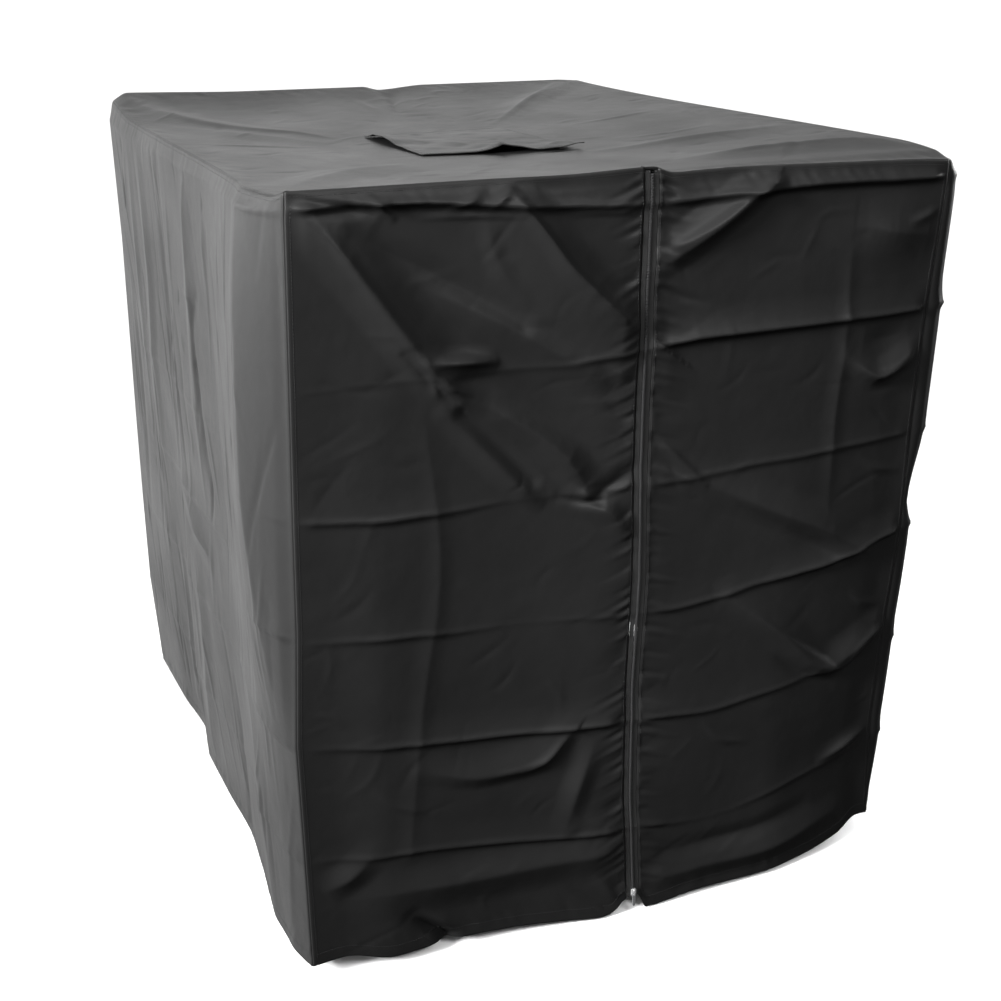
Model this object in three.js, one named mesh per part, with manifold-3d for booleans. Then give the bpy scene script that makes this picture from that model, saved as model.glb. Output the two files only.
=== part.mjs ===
// Fitted cover for a 1000 litre water tank: five cloth panels, a flap on top, and a zip up the front.
// Lengths are in millimetres. +Z is up and the front faces -Y. The tables measure z from the level of
// the hem, and the whole cover is then lowered so that the middle of the tank's top is the origin.

import * as THREE from 'three';
import { mergeVertices } from 'three/addons/utils/BufferGeometryUtils.js';
import Module from 'manifold-3d';

const wasm = await Module();
wasm.setup();

// Driving sizes
const TANK_TOP = 1130;       // height of the tank's top above the hem
const TOP_SAG = 20;          // how far the middle of the top panel hangs below its edges
const KINK_REACH = 0.12;     // the share of the top within which the kinks of its seams die away
const CLOTH = 2;             // thickness of the coated cloth
const SEAM_GAP = 0.22;       // each panel stops this far short of a seam, along its own surface
const CELL = 42;             // longest side of a cell in the front and left panels
const BACK_CELL = 90;        // the same for the two panels at the back and right
const FRONT_WIDTH = 1013;    // width of the front between its corner seams
const FADE_SIDE = 30;        // folds die away over this distance from a corner seam
const FADE_WRAP = 9;         // but the right wall's cloth turns the front corner within this distance
const FADE_TOP = 24;         // folds die away over this distance from a top seam
const FADE_ZIP = 45;         // and calm down within this distance of the zip, which runs straight,
const ZIP_CALM = 0.2;        // to this share of their depth

// The filler opening in the top panel, and the flap over it, from the middle of the top
const OPENING = { x: [-136, 52], y: [-138, 50] };
const FLAP = { x: [-176, 92], y: [-182, 95], askew: -52 };   // its front edge runs askew by that much
const FLAP_GAP = 0.8;

// The zip: half widths measured from its centre line, and how far each part lies behind the cloth
const ZIP = {
  panelEdge: 11, tapeOuter: 10.7, tapeInner: 3.15, chainHalf: 2.85,
  tapeSink: 0.8, tapeThick: 1.2, chainProud: 0.6, chainThick: 3,
};
const ZIP_LINE = { top: 0.505, hem: 0.517 };   // the zip's place across the front, as a fraction
const CHAIN_END = { low: 26, high: 1156 };     // heights between which the chain runs
const SLIDER = { z: 22, width: 9, height: 13, plate: 2, back: 1.6, post: 4, postHigh: 5 };
const BRIDGE = { width: 2, bar: 1.2, slot: 2.4, low: -4.5, high: 4.5, root: 2 };
const PULL = { width: 6, length: 24, thick: 1.2, head: 2.15, eyeHalf: 1.5, eyeLong: 2.75, clear: 0.35 };

// Packing folds cross the walls at these fractions of the height; every corner seam bends only there.
const LEVELS = [0, 0.165, 0.33, 0.48, 0.625, 0.78, 0.97, 1];

// Corner seams: height at the hem and the top, then x and y at each level.
const CORNERS = {
  frontLeft: {
    low: 14, high: 1163,
    x: [-519, -523, -527, -519, -516, -512, -507, -505],
    y: [-590, -594, -596, -597, -597, -598, -597, -597],
  },
  frontRight: {
    low: 20, high: 1148,
    x: [494, 482, 489, 500, 499, 503, 513, 510],
    y: [-586, -588, -591, -595, -595, -597, -604, -607],
  },
  backLeft: {
    low: -18, high: 1169,
    x: [-498, -509, -509, -508, -506, -504, -507, -498],
    y: [596, 603, 603, 603, 603, 604, 606, 606],
  },
  backRight: {
    low: -14, high: 1174,
    x: [496, 500, 503, 500, 502, 503, 505, 505],
    y: [590, 598, 601, 601, 603, 605, 607, 608],
  },
};

// Top seams between the corners. at is the fraction of the way along, towards +X or +Y.
// across is the position at right angles to the seam, and z its height.
const TOP_EDGES = {
  front: [
    { at: 0.08, across: -599, z: 1163 },
    { at: 0.26, across: -600, z: 1163 },
    { at: 0.37, across: -601, z: 1162 },
    { at: 0.505, across: -603, z: 1166 },
    { at: 0.54, across: -600, z: 1156 },
    { at: 0.64, across: -601, z: 1158 },
    { at: 0.8, across: -603, z: 1155 },
    { at: 0.94, across: -606, z: 1152 },
  ],
  back: [
    { at: 0.03, across: 609, z: 1183 },
    { at: 0.08, across: 609, z: 1182 },
    { at: 0.26, across: 608, z: 1178 },
    { at: 0.505, across: 608, z: 1178 },
    { at: 0.54, across: 607, z: 1171 },
    { at: 0.64, across: 608, z: 1178 },
    { at: 0.94, across: 608, z: 1178 },
  ],
  left: [
    { at: 0.03, across: -513, z: 1154 },
    { at: 0.11, across: -523, z: 1152 },
    { at: 0.17, across: -513, z: 1150 },
    { at: 0.29, across: -507, z: 1149 },
    { at: 0.67, across: -504, z: 1150 },
    { at: 0.84, across: -503, z: 1153 },
  ],
  right: [
    { at: 0.008, across: 521, z: 1148 },
    { at: 0.04, across: 521, z: 1158 },
    { at: 0.11, across: 517, z: 1165 },
    { at: 0.29, across: 510, z: 1167 },
    { at: 0.67, across: 505, z: 1168 },
    { at: 0.84, across: 505, z: 1170 },
  ],
};

// Hems between the corners, in the same columns. The front rises in a notch at the zip.
const HEMS = {
  front: [
    { at: 0.05, across: -592, z: 18 },
    { at: 0.13, across: -603, z: 2 },
    { at: 0.21, across: -603, z: 5 },
    { at: 0.3, across: -607, z: 2 },
    { at: 0.4, across: -618, z: -6 },
    { at: 0.476, across: -628, z: -12 },
    { at: 0.4985, across: -628, z: 9 },
    { at: 0.524, across: -628, z: 15 },
    { at: 0.542, across: -629, z: -14 },
    { at: 0.642, across: -630, z: -6 },
    { at: 0.757, across: -630, z: -8 },
    { at: 0.84, across: -620, z: -5 },
    { at: 0.927, across: -602, z: 6 },
    { at: 0.975, across: -588, z: 22 },
  ],
  left: [
    { at: 0.02, across: -524, z: 11 },
    { at: 0.06, across: -531, z: 8 },
    { at: 0.12, across: -531, z: 6 },
    { at: 0.26, across: -514, z: 2 },
    { at: 0.36, across: -504, z: 0 },
    { at: 0.48, across: -507, z: -3 },
    { at: 0.6, across: -507, z: -6 },
    { at: 0.64, across: -491, z: -4 },
    { at: 0.7, across: -489, z: -5 },
    { at: 0.82, across: -496, z: -11 },
  ],
  right: [
    { at: 0.1, across: 500, z: 8 },
    { at: 0.3, across: 513, z: -2 },
    { at: 0.5, across: 504, z: -4 },
    { at: 0.7, across: 516, z: -5 },
    { at: 0.9, across: 503, z: -10 },
  ],
  back: [
    { at: 0.1, across: 603, z: -12 },
    { at: 0.28, across: 615, z: -8 },
    { at: 0.5, across: 603, z: -3 },
    { at: 0.72, across: 617, z: -5 },
    { at: 0.9, across: 602, z: -10 },
  ],
};

// Packing folds of each wall, one for each level between hem and top: the height of the crest and how
// far it stands out, at points along the wall. The cloth slopes out above the crest and steps in below.
const CREASE_ABOVE = 46;
const CREASE_BELOW = 20;
const CREASES = {
  front: [
    [[-515, 199, 0], [-332, 178, 4], [-114, 152, 6], [1, 143, 4], [140, 126, 0], [313, 152, 2], [475, 171, 0]],
    [[-520, 387, 0], [-344, 360, 5], [-117, 341, 7], [0, 334, 6], [130, 321, 3], [298, 334, 2], [489, 352, 0]],
    [[-515, 551, 0], [-366, 534, 3], [-185, 523, 0], [49, 507, 3], [191, 518, 3], [358, 535, 10], [482, 560, 9]],
    [[-510, 728, 2], [-366, 711, 4], [-171, 715, 0], [0, 708, 2], [134, 715, 2], [341, 719, 3], [483, 723, 2]],
    [[-510, 905, 0], [-150, 905, 1], [0, 912, 6], [97, 922, 11], [303, 922, 9], [400, 923, 7], [487, 925, 6]],
    [[-500, 1143, 11], [-346, 1140, 11], [-198, 1127, 9], [19, 1115, 7], [144, 1121, 9], [307, 1126, 11],
      [510, 1127, 9]],
  ],
  left: [
    [[-590, 195, 2], [-300, 185, 1], [0, 180, 1], [300, 180, 1], [600, 185, 0]],
    [[-590, 385, 3], [-300, 378, 1], [0, 375, 1], [300, 372, 1], [600, 378, 0]],
    [[-590, 555, 3], [-300, 552, 1], [0, 550, 2], [300, 556, 1], [600, 560, 0]],
    [[-590, 728, 1], [-300, 728, 0], [0, 725, 1], [300, 730, 1], [600, 728, 0]],
    [[-590, 915, 0], [-300, 915, 0], [0, 918, 1], [300, 920, 0], [600, 915, 0]],
    [[-590, 1135, 2], [-300, 1122, 1], [0, 1122, 2], [300, 1124, 1], [600, 1130, 1]],
  ],
  right: [
    [[-590, 175, 2], [-100, 182, 3], [300, 178, 3], [600, 184, 0]],
    [[-590, 355, 2], [-100, 368, 4], [300, 372, 3], [600, 380, 0]],
    [[-590, 560, 4], [-100, 552, 4], [300, 556, 3], [600, 560, 0]],
    [[-590, 723, 2], [-100, 726, 3], [300, 730, 4], [600, 728, 0]],
    [[-590, 925, 5], [-100, 918, 4], [300, 914, 3], [600, 915, 0]],
    [[-590, 1124, 5], [-100, 1122, 4], [300, 1124, 4], [600, 1130, 2]],
  ],
  back: [
    [[-500, 184, 0], [-100, 180, 3], [250, 186, 2], [500, 184, 0]],
    [[-500, 378, 0], [-100, 370, 4], [250, 376, 3], [500, 378, 0]],
    [[-500, 560, 0], [-100, 552, 3], [250, 558, 4], [500, 560, 0]],
    [[-500, 728, 0], [-100, 732, 4], [250, 724, 3], [500, 728, 0]],
    [[-500, 915, 0], [-100, 910, 3], [250, 918, 4], [500, 915, 0]],
    [[-500, 1130, 3], [-100, 1124, 5], [250, 1128, 4], [500, 1130, 3]],
  ],
};

// Drape folds of each wall. A line runs through points [along, height, lift], left and right are the
// widths of its two sides as one walks along it, and a negative lift is a trough. The shape is flat
// (a straight slope), sharp (a pinched crest) or soft (a rounded one).
const FOLDS = {
  front: [
    // the tension ridge from the top left corner down to the crumple, then its two branches
    { shape: 'soft', left: 60, right: 42, points: [[-490, 1138, 3], [-419, 1056, 12], [-340, 945, 13], [-290, 880, 5]] },
    { shape: 'soft', left: 34, right: 34, points: [[-290, 890, 3], [-118, 766, 10], [-90, 725, 3]] },
    { shape: 'soft', left: 26, right: 26, points: [[-295, 850, 2], [-194, 738, 6], [-150, 700, 0]] },
    { shape: 'sharp', left: 26, right: 26, points: [[-325, 928, 2], [-270, 922, 8], [-220, 917, 0]] },
    // the second tension ridge, broad on its lower left side, ending at the zip
    { shape: 'soft', left: 44, right: 130, points: [[-213, 1150, 3], [-151, 1082, 10], [-66, 988, 14], [0, 938, 9]] },
    { shape: 'soft', left: 30, right: 34, points: [[-330, 1030, 0], [-200, 960, 6], [-81, 884, 4], [-50, 860, 0]] },
    { shape: 'soft', left: 26, right: 26, points: [[-110, 705, 2], [-60, 680, 7], [-5, 630, 3]] },
    { shape: 'sharp', left: 26, right: 26, points: [[-69, 704, -5], [-5, 737, -4]] },
    // lower left: a curved shelf under a packing fold, a short drape and the bellied hem
    { shape: 'soft', left: 48, right: 24, points: [[-360, 318, 0], [-237, 284, 7], [-157, 294, 7], [-112, 330, 3]] },
    { shape: 'soft', left: 30, right: 30, points: [[-66, 316, 0], [-95, 240, 6], [-113, 173, 2]] },
    { shape: 'soft', left: 46, right: 52, points: [[-422, 120, 2], [-280, 112, 9], [-91, 110, 8], [-10, 110, 2]] },
    { shape: 'soft', left: 34, right: 34, points: [[-498, 140, 0], [-460, 160, 7], [-424, 190, 2]] },
    { shape: 'soft', left: 26, right: 26, points: [[-362, 60, -3], [-305, 8, -9]] },
    // right of the zip: the ridge that climbs to the top seam, and the full cloth by the corner
    { shape: 'soft', left: 46, right: 26, points: [[20, 1025, 4], [122, 1082, 11], [205, 1140, 8]] },
    { shape: 'soft', left: 70, right: 70, points: [[350, 1060, 2], [420, 1050, 9], [490, 1040, 3]] },
    { shape: 'soft', left: 32, right: 26, points: [[360, 862, 2], [414, 828, 10], [490, 860, 4]] },
    { shape: 'soft', left: 40, right: 40, points: [[385, 890, 0], [430, 885, -7], [470, 890, 0]] },
    // two long diagonals that turn up to the right corner
    { shape: 'soft', left: 46, right: 32, points: [[90, 712, 2], [215, 645, 9], [330, 592, 10], [400, 545, 5]] },
    { shape: 'soft', left: 44, right: 32, points: [[159, 505, 3], [260, 425, 9], [360, 348, 11], [481, 392, 5]] },
    { shape: 'soft', left: 26, right: 26, points: [[350, 165, 0], [410, 180, 5], [472, 197, 1]] },
    { shape: 'soft', left: 40, right: 34, points: [[60, 40, 4], [250, 40, 8], [400, 60, 3]] },
    // upright packing creases
    { shape: 'sharp', left: 26, right: 26, points: [[345, 1110, 0], [349, 896, 3], [338, 743, 3], [338, 600, 0]] },
    { shape: 'sharp', left: 26, right: 26, points: [[-335, 900, 0], [-310, 640, 3], [-340, 420, 3], [-365, 175, 2]] },
  ],
  left: [
    // the wall stands out behind the front corner in a long flat-sided ridge that runs into the seam
    { shape: 'flat', left: 300, right: 112,
      points: [[-462, 1150, 6], [-470, 1000, 20], [-480, 870, 25], [-490, 725, 27], [-520, 540, 17], [-565, 385, 0]] },
    { shape: 'sharp', left: 30, right: 34, points: [[158, 1143, -2], [172, 1000, -5], [173, 813, -6], [130, 700, 0]] },
    { shape: 'soft', left: 44, right: 44, points: [[-60, 1142, 0], [-40, 1051, 4], [-32, 860, 6], [-30, 700, 0]] },
    { shape: 'sharp', left: 30, right: 30, points: [[-85, 946, 0], [-40, 858, -5], [-60, 690, -5], [-110, 600, 0]] },
    { shape: 'soft', left: 40, right: 40, points: [[330, 1140, 0], [320, 900, 5], [345, 700, 4], [330, 480, 0]] },
    { shape: 'soft', left: 50, right: 46, points: [[110, 540, 3], [30, 505, 8], [-48, 480, 3]] },
    { shape: 'soft', left: 60, right: 60, points: [[60, 460, 0], [20, 300, 6], [60, 60, 3]] },
    { shape: 'soft', left: 60, right: 60, points: [[-330, 420, 0], [-400, 220, 6], [-440, 20, 3]] },
    { shape: 'sharp', left: 30, right: 30, points: [[150, 170, 0], [160, 80, -6], [165, -5, -8]] },
  ],
  right: [
    // the wall's cloth turns the corner before it meets the front
    { shape: 'flat', left: 40, right: 420, points: [[-580, 1140, 8], [-590, 1100, 14], [-588, 960, 20],
      [-588, 900, 27], [-586, 740, 28], [-586, 602, 8], [-586, 540, 20], [-584, 440, 24], [-581, 217, 27],
      [-578, 31, 6]] },
    { shape: 'soft', left: 80, right: 80, points: [[-120, 1120, 0], [-140, 700, 8], [-90, 300, 9], [-110, 0, 10]] },
    { shape: 'soft', left: 90, right: 90, points: [[290, 1120, 0], [270, 760, 6], [300, 350, 9], [280, 0, 8]] },
  ],
  back: [
    { shape: 'soft', left: 90, right: 90, points: [[-210, 1120, 0], [-190, 700, 8], [-220, 300, 10], [-210, 0, 6]] },
    { shape: 'soft', left: 90, right: 90, points: [[220, 1120, 0], [240, 740, 7], [215, 340, 9], [235, 0, 7]] },
  ],
};

// Folds of the top panel: points are [x, y, lift].
const TOP_FOLDS = [
  { shape: 'soft', left: 60, right: 60, points: [[-470, 560, 3], [-425, 424, 8], [-264, 141, 6], [-215, 90, 0]] },
  { shape: 'soft', left: 55, right: 55, points: [[-470, 330, 0], [-330, 130, 5], [-240, 20, 0]] },
  { shape: 'soft', left: 50, right: 50, points: [[470, 570, 2], [290, 395, 7], [156, 224, 1]] },
  { shape: 'soft', left: 60, right: 60, points: [[-480, -520, 2], [-370, -390, 7], [-225, -280, 0]] },
  { shape: 'soft', left: 50, right: 70, points: [[500, -505, 5], [392, -480, 10], [250, -468, 8], [120, -465, 1]] },
  { shape: 'soft', left: 55, right: 55, points: [[490, -240, 1], [300, -255, 6], [150, -275, 1]] },
  { shape: 'sharp', left: 50, right: 50, points: [[55, 590, -5], [15, 400, -4], [2, 290, 0]] },
];

// The flap lifts off the top along its free edges: fractions across and back from the front edge.
const FLAP_LIFTS = [
  { across: 0, back: 0.72, lift: 8, reach: 0.32 },
  { across: 0.52, back: 0, lift: 8, reach: 0.2 },
  { across: 1, back: 0, lift: 6, reach: 0.3 },
];

const material = (color, roughness, metalness) => new THREE.MeshStandardMaterial({ color, roughness, metalness });
const CLOTH_FINISH = material(0x2b2c2e, 0.62, 0);
const TAPE_FINISH = material(0x161617, 0.85, 0);
const CHAIN_FINISH = material(0x303133, 0.5, 0);
const SLIDER_FINISH = material(0xc6c8ca, 0.3, 1);
const PULL_FINISH = material(0x7c7e80, 0.38, 1);

const X = new THREE.Vector3(1, 0, 0);
const Y = new THREE.Vector3(0, 1, 0);
const Z = new THREE.Vector3(0, 0, 1);
const clamp = (value) => Math.min(1, Math.max(0, value));
const mix = (a, b, t) => a + (b - a) * t;
const easing = (t) => t * t * (3 - 2 * t);

// How a fold falls from its crest (0) to its edge (1).
const PROFILES = {
  flat: (t) => 1 - t,
  sharp: (t) => (1 - t) ** 2,
  soft: (t) => 1 - easing(t),
};

// A point on a seam or hem, between the rows of its table.
function pointOn(line, at) {
  const next = Math.max(1, line.findIndex((row) => row.at >= at - 1e-9));
  const a = line[next - 1];
  const b = line[next];
  return new THREE.Vector3().lerpVectors(a.point, b.point, clamp((at - a.at) / (b.at - a.at)));
}

function cornerLine({ low, high, x, y }) {
  return LEVELS.map((at, i) => ({ at, point: new THREE.Vector3(x[i], y[i], mix(low, high, at)) }));
}

// A seam or hem from one corner to the next, with the table's rows between them.
function edgeLine(rows, from, to, axis) {
  const middle = rows.map(({ at, across, z }) => {
    const point = new THREE.Vector3().lerpVectors(from, to, at).setZ(z);
    return { at, point: axis === 'x' ? point.setY(across) : point.setX(across) };
  });
  return [{ at: 0, point: from }, ...middle, { at: 1, point: to }];
}

// Height of a packing fold above the point that is a along the wall.
function creaseHeight(points, a) {
  const next = points.findIndex((point) => point[0] >= a);
  if (next === 0) return points[0][1];
  if (next < 0) return points[points.length - 1][1];
  const [a0, z0] = points[next - 1];
  const [a1, z1] = points[next];
  return mix(z0, z1, (a - a0) / (a1 - a0));
}

// How far one fold moves the cloth at (a, b), measured from the nearest point of its line.
function foldLift({ shape, left, right, points }, a, b) {
  let nearest = { distance: Infinity, lift: 0, side: 1 };
  for (let i = 1; i < points.length; i += 1) {
    const [a0, b0, lift0] = points[i - 1];
    const [a1, b1, lift1] = points[i];
    const [da, db] = [a1 - a0, b1 - b0];
    const t = clamp(((a - a0) * da + (b - b0) * db) / (da * da + db * db));
    const distance = Math.hypot(a - a0 - da * t, b - b0 - db * t);
    if (distance < nearest.distance) {
      nearest = { distance, lift: mix(lift0, lift1, t), side: da * (b - b0) - db * (a - a0) };
    }
  }
  const reach = nearest.distance / (nearest.side > 0 ? left : right);
  return reach < 1 ? nearest.lift * PROFILES[shape](reach) : 0;
}

const creaseFold = (points) => ({ shape: 'sharp', left: CREASE_ABOVE, right: CREASE_BELOW, points });

// The smooth patch between four edge lines.
function patchPoint({ low, high, start, end }, u, v) {
  const point = pointOn(low, u).multiplyScalar(1 - v).addScaledVector(pointOn(high, u), v);
  point.addScaledVector(pointOn(start, v), 1 - u).addScaledVector(pointOn(end, v), u);
  point.addScaledVector(low[0].point, -(1 - u) * (1 - v)).addScaledVector(low[low.length - 1].point, -u * (1 - v));
  return point.addScaledVector(high[0].point, -(1 - u) * v).addScaledVector(high[high.length - 1].point, -u * v);
}

const corners = {};
for (const [name, table] of Object.entries(CORNERS)) corners[name] = cornerLine(table);
const topOf = (name) => corners[name][LEVELS.length - 1].point;
const hemOf = (name) => corners[name][0].point;

// The walls. along is the axis that a wall follows, outward the way it faces, and flip tells that the
// outward side is the back of a patch drawn along and up.
function wallPatch(side, from, to, along, outward, flip) {
  const axis = along === X ? 'x' : 'y';
  return {
    high: edgeLine(TOP_EDGES[side], topOf(from), topOf(to), axis),
    low: edgeLine(HEMS[side], hemOf(from), hemOf(to), axis),
    start: corners[from],
    end: corners[to],
    folds: [...CREASES[side].map(creaseFold), ...FOLDS[side]],
    creases: CREASES[side],
    axis, along, outward, flip,
  };
}

const WALLS = {
  front: wallPatch('front', 'frontLeft', 'frontRight', X, Y.clone().negate(), false),
  back: wallPatch('back', 'backLeft', 'backRight', X, Y.clone(), true),
  left: wallPatch('left', 'frontLeft', 'backLeft', Y, X.clone().negate(), true),
  right: wallPatch('right', 'frontRight', 'backRight', Y, X.clone(), false),
};

const TOP = { low: WALLS.front.high, high: WALLS.back.high, start: WALLS.left.high, end: WALLS.right.high };

// The top with its front and back seams drawn level from corner to corner.
const levelEdge = (line) => line.map(({ at, point }) => ({
  at, point: point.clone().setZ(mix(line[0].point.z, line[line.length - 1].point.z, at)),
}));
const LEVEL_TOP = { ...TOP, low: levelEdge(TOP.low), high: levelEdge(TOP.high) };

const zipAt = (v) => mix(ZIP_LINE.hem, ZIP_LINE.top, v);

function wallPoint(wall, u, v) {
  const point = patchPoint(wall, u, v);
  const a = point[wall.axis];
  const lift = wall.folds.reduce((sum, fold) => sum + foldLift(fold, a, point.z), 0);
  const fromStart = (a - pointOn(wall.start, v)[wall.axis]) / (wall === WALLS.right ? FADE_WRAP : FADE_SIDE);
  const fromEnd = (pointOn(wall.end, v)[wall.axis] - a) / FADE_SIDE;
  const fromTop = (pointOn(wall.high, u).z - point.z) / FADE_TOP;
  const fromZip = wall === WALLS.front ? Math.abs(u - zipAt(v)) * FRONT_WIDTH / FADE_ZIP : 1;
  const calm = mix(ZIP_CALM, 1, easing(clamp(fromZip)));
  const fade = easing(clamp(Math.min(fromStart, fromEnd))) * clamp(fromTop) * calm;
  return point.addScaledVector(wall.outward, lift * fade);
}

function topPoint(u, v) {
  const nearSeam = (1 - clamp(Math.min(v, 1 - v) / KINK_REACH)) ** 2;
  const point = patchPoint(LEVEL_TOP, u, v).lerp(patchPoint(TOP, u, v), nearSeam);
  const bowl = (4 * u * (1 - u) * 4 * v * (1 - v)) ** 0.8;
  const fade = easing(clamp(Math.min(u, 1 - u, v, 1 - v) * 20));
  const lift = TOP_FOLDS.reduce((sum, fold) => sum + foldLift(fold, point.x, point.y), 0);
  return point.addScaledVector(Z, lift * fade - TOP_SAG * bowl);
}

// Fractions at the given breaks, with cells no longer than step between them.
function divide(breaks, step) {
  const list = [];
  for (let i = 1; i < breaks.length; i += 1) {
    const count = Math.max(1, Math.ceil((breaks[i] - breaks[i - 1]) / step));
    for (let k = 0; k < count; k += 1) list.push(mix(breaks[i - 1], breaks[i], k / count));
  }
  return [...list, breaks[breaks.length - 1]];
}

// Unit normals of a grid of points, facing the side that the sheet faces.
function gridNormals(grid, flip) {
  return grid.map((column, i) => column.map((point, j) => {
    const du = new THREE.Vector3().subVectors(
      grid[Math.min(i + 1, grid.length - 1)][j], grid[Math.max(i - 1, 0)][j]);
    const dv = new THREE.Vector3().subVectors(
      column[Math.min(j + 1, column.length - 1)], column[Math.max(j - 1, 0)]);
    return du.cross(dv).normalize().multiplyScalar(flip ? -1 : 1);
  }));
}

// A closed sheet from a grid of outer points and the inner point behind each. A cell in the hole is
// left out, and every free side of a cell gets a rim. A cell is split along the diagonal whose ends
// face most alike, so that the crest of a fold stays whole.
function sheet(name, finish, outer, inner, flip, isHole = () => false) {
  const [columns, rows] = [outer.length, outer[0].length];
  const normals = gridNormals(outer, flip);
  const positions = [];
  const index = [];
  const numbers = new Map();
  const number = (i, j, back) => {
    const key = (i * rows + j) * 2 + back;
    if (!numbers.has(key)) {
      numbers.set(key, positions.length / 3);
      positions.push(...(back ? inner : outer)[i][j].toArray());
    }
    return numbers.get(key);
  };
  const triangle = (a, b, c) => (flip ? index.push(a, c, b) : index.push(a, b, c));
  const filled = (i, j) => i >= 0 && j >= 0 && i < columns - 1 && j < rows - 1 && !isHole(i, j);
  for (let i = 0; i < columns - 1; i += 1) {
    for (let j = 0; j < rows - 1; j += 1) {
      if (!filled(i, j)) continue;
      const cell = [[i, j], [i + 1, j], [i + 1, j + 1], [i, j + 1]];
      const neighbours = [[i, j - 1], [i + 1, j], [i, j + 1], [i - 1, j]];
      const front = cell.map(([p, q]) => number(p, q, 0));
      const back = cell.map(([p, q]) => number(p, q, 1));
      const alike = (p, q) => normals[cell[p][0]][cell[p][1]].dot(normals[cell[q][0]][cell[q][1]]);
      const first = alike(0, 2) >= alike(1, 3) ? 0 : 1;
      for (const k of [first, (first + 2) % 4]) {
        triangle(front[k], front[(k + 1) % 4], front[(k + 2) % 4]);
        triangle(back[k], back[(k + 2) % 4], back[(k + 1) % 4]);
      }
      neighbours.forEach(([p, q], side) => {
        if (filled(p, q)) return;
        const next = (side + 1) % 4;
        triangle(front[next], front[side], back[side]);
        triangle(front[next], back[side], back[next]);
      });
    }
  }
  const geometry = new THREE.BufferGeometry();
  geometry.setAttribute('position', new THREE.Float32BufferAttribute(positions, 3));
  geometry.setIndex(index);
  geometry.computeVertexNormals();
  const mesh = new THREE.Mesh(geometry, finish);
  mesh.name = name;
  return mesh;
}

// The way from a seam's outer line to its inner line, the same for the two panels that meet there.
// toSide adds the neighbouring wall's direction near a corner.
function seamInward(wall, at, firstBreak, lastBreak) {
  const toSide = clamp(1 - at / firstBreak) - clamp(1 - (1 - at) / lastBreak);
  return wall.outward.clone().negate().addScaledVector(wall.along, toSide).sub(Z);
}

const breaksOf = (line) => line.map((row) => row.at);

function edgeInward(wall, at) {
  const breaks = breaksOf(wall.high);
  return seamInward(wall, at, breaks[1], 1 - breaks[breaks.length - 2]);
}

// Rows of a wall column: the levels are the packing folds, except at a corner seam.
function rowFractions(wall, uAt, atCorner, parts) {
  const levels = LEVELS.map((level, k) => {
    if (atCorner || k === 0 || k === LEVELS.length - 1) return level;
    const u = uAt(level);
    const [low, high] = [pointOn(wall.low, u).z, pointOn(wall.high, u).z];
    return (creaseHeight(wall.creases[k - 1], patchPoint(wall, u, level)[wall.axis]) - low) / (high - low);
  });
  const list = [];
  for (let k = 0; k < levels.length - 1; k += 1) {
    const steps = k === levels.length - 2 ? [0, 0.5] : parts;
    for (const part of steps) list.push(mix(levels[k], levels[k + 1], part));
  }
  return [...list, 1];
}

// A wall panel. A column is { uAt, top, corner, sealed }: where it lies across the wall at each height,
// its fraction along the top seam, which corner seam it lies on (-1, 0 or 1), and whether it is a
// straight edge beside the zip.
function wallPanel(name, wall, columns, parts) {
  const fractions = columns.map(({ uAt, corner }) => rowFractions(wall, uAt, corner !== 0, parts));
  const outer = columns.map(({ uAt }, i) => fractions[i].map((v) => wallPoint(wall, uAt(v), v)));
  const normals = gridNormals(outer, wall.flip);
  const lastRow = outer[0].length - 1;
  const inner = outer.map((column, i) => column.map((point, j) => {
    const { corner, sealed, top } = columns[i];
    const inward = normals[i][j].clone().negate();
    if (sealed) inward.copy(wall.outward).negate();
    if (corner !== 0) {
      const rise = clamp((fractions[i][j] - LEVELS[6]) / (1 - LEVELS[6]));
      inward.copy(wall.outward).negate().addScaledVector(wall.along, -corner).addScaledVector(Z, -rise);
    }
    if (j === lastRow) inward.copy(edgeInward(wall, top));
    point.addScaledVector(wall.along, -corner * SEAM_GAP);
    if (j === lastRow) point.addScaledVector(Z, -SEAM_GAP);
    return point.clone().addScaledVector(inward, CLOTH);
  }));
  return sheet(name, CLOTH_FINISH, outer, inner, wall.flip);
}

const CLOSE_ROWS = [0, 0.32, 0.64, 0.9];
const WIDE_ROWS = [0, 0.34, 0.68];

function sideWall(name, wall, step, parts) {
  const fractions = divide(breaksOf(wall.high), step);
  const columns = fractions.map((top) => ({
    uAt: () => top, top, corner: top === 0 ? -1 : Number(top === 1), sealed: false,
  }));
  return wallPanel(name, wall, columns, parts);
}

// The front is parted along the zip line. Positions beside it are given in millimetres from it.
const besideZip = (offset) => (v) => zipAt(v) + offset / FRONT_WIDTH;

function frontPanel(name, side) {
  const breaks = breaksOf(WALLS.front.high).filter((at) => side * (at - ZIP_LINE.top) > 0);
  const nearZip = [20, 42].map((offset) => ZIP_LINE.top + side * offset / FRONT_WIDTH);
  const inField = divide([...breaks, nearZip[1]].sort((a, b) => a - b), CELL / FRONT_WIDTH);
  const tops = side < 0 ? [...inField, nearZip[0]] : [nearZip[0], ...inField];
  const columns = tops.map((top) => ({
    uAt: (v) => (side < 0 ? top * zipAt(v) / ZIP_LINE.top
      : 1 - (1 - top) * (1 - zipAt(v)) / (1 - ZIP_LINE.top)),
    top, corner: top === 0 ? -1 : Number(top === 1), sealed: false,
  }));
  const edge = {
    uAt: besideZip(side * ZIP.panelEdge), top: besideZip(side * ZIP.panelEdge)(1), corner: 0, sealed: true,
  };
  return wallPanel(name, WALLS.front, side < 0 ? [...columns, edge] : [edge, ...columns], CLOSE_ROWS);
}

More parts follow.
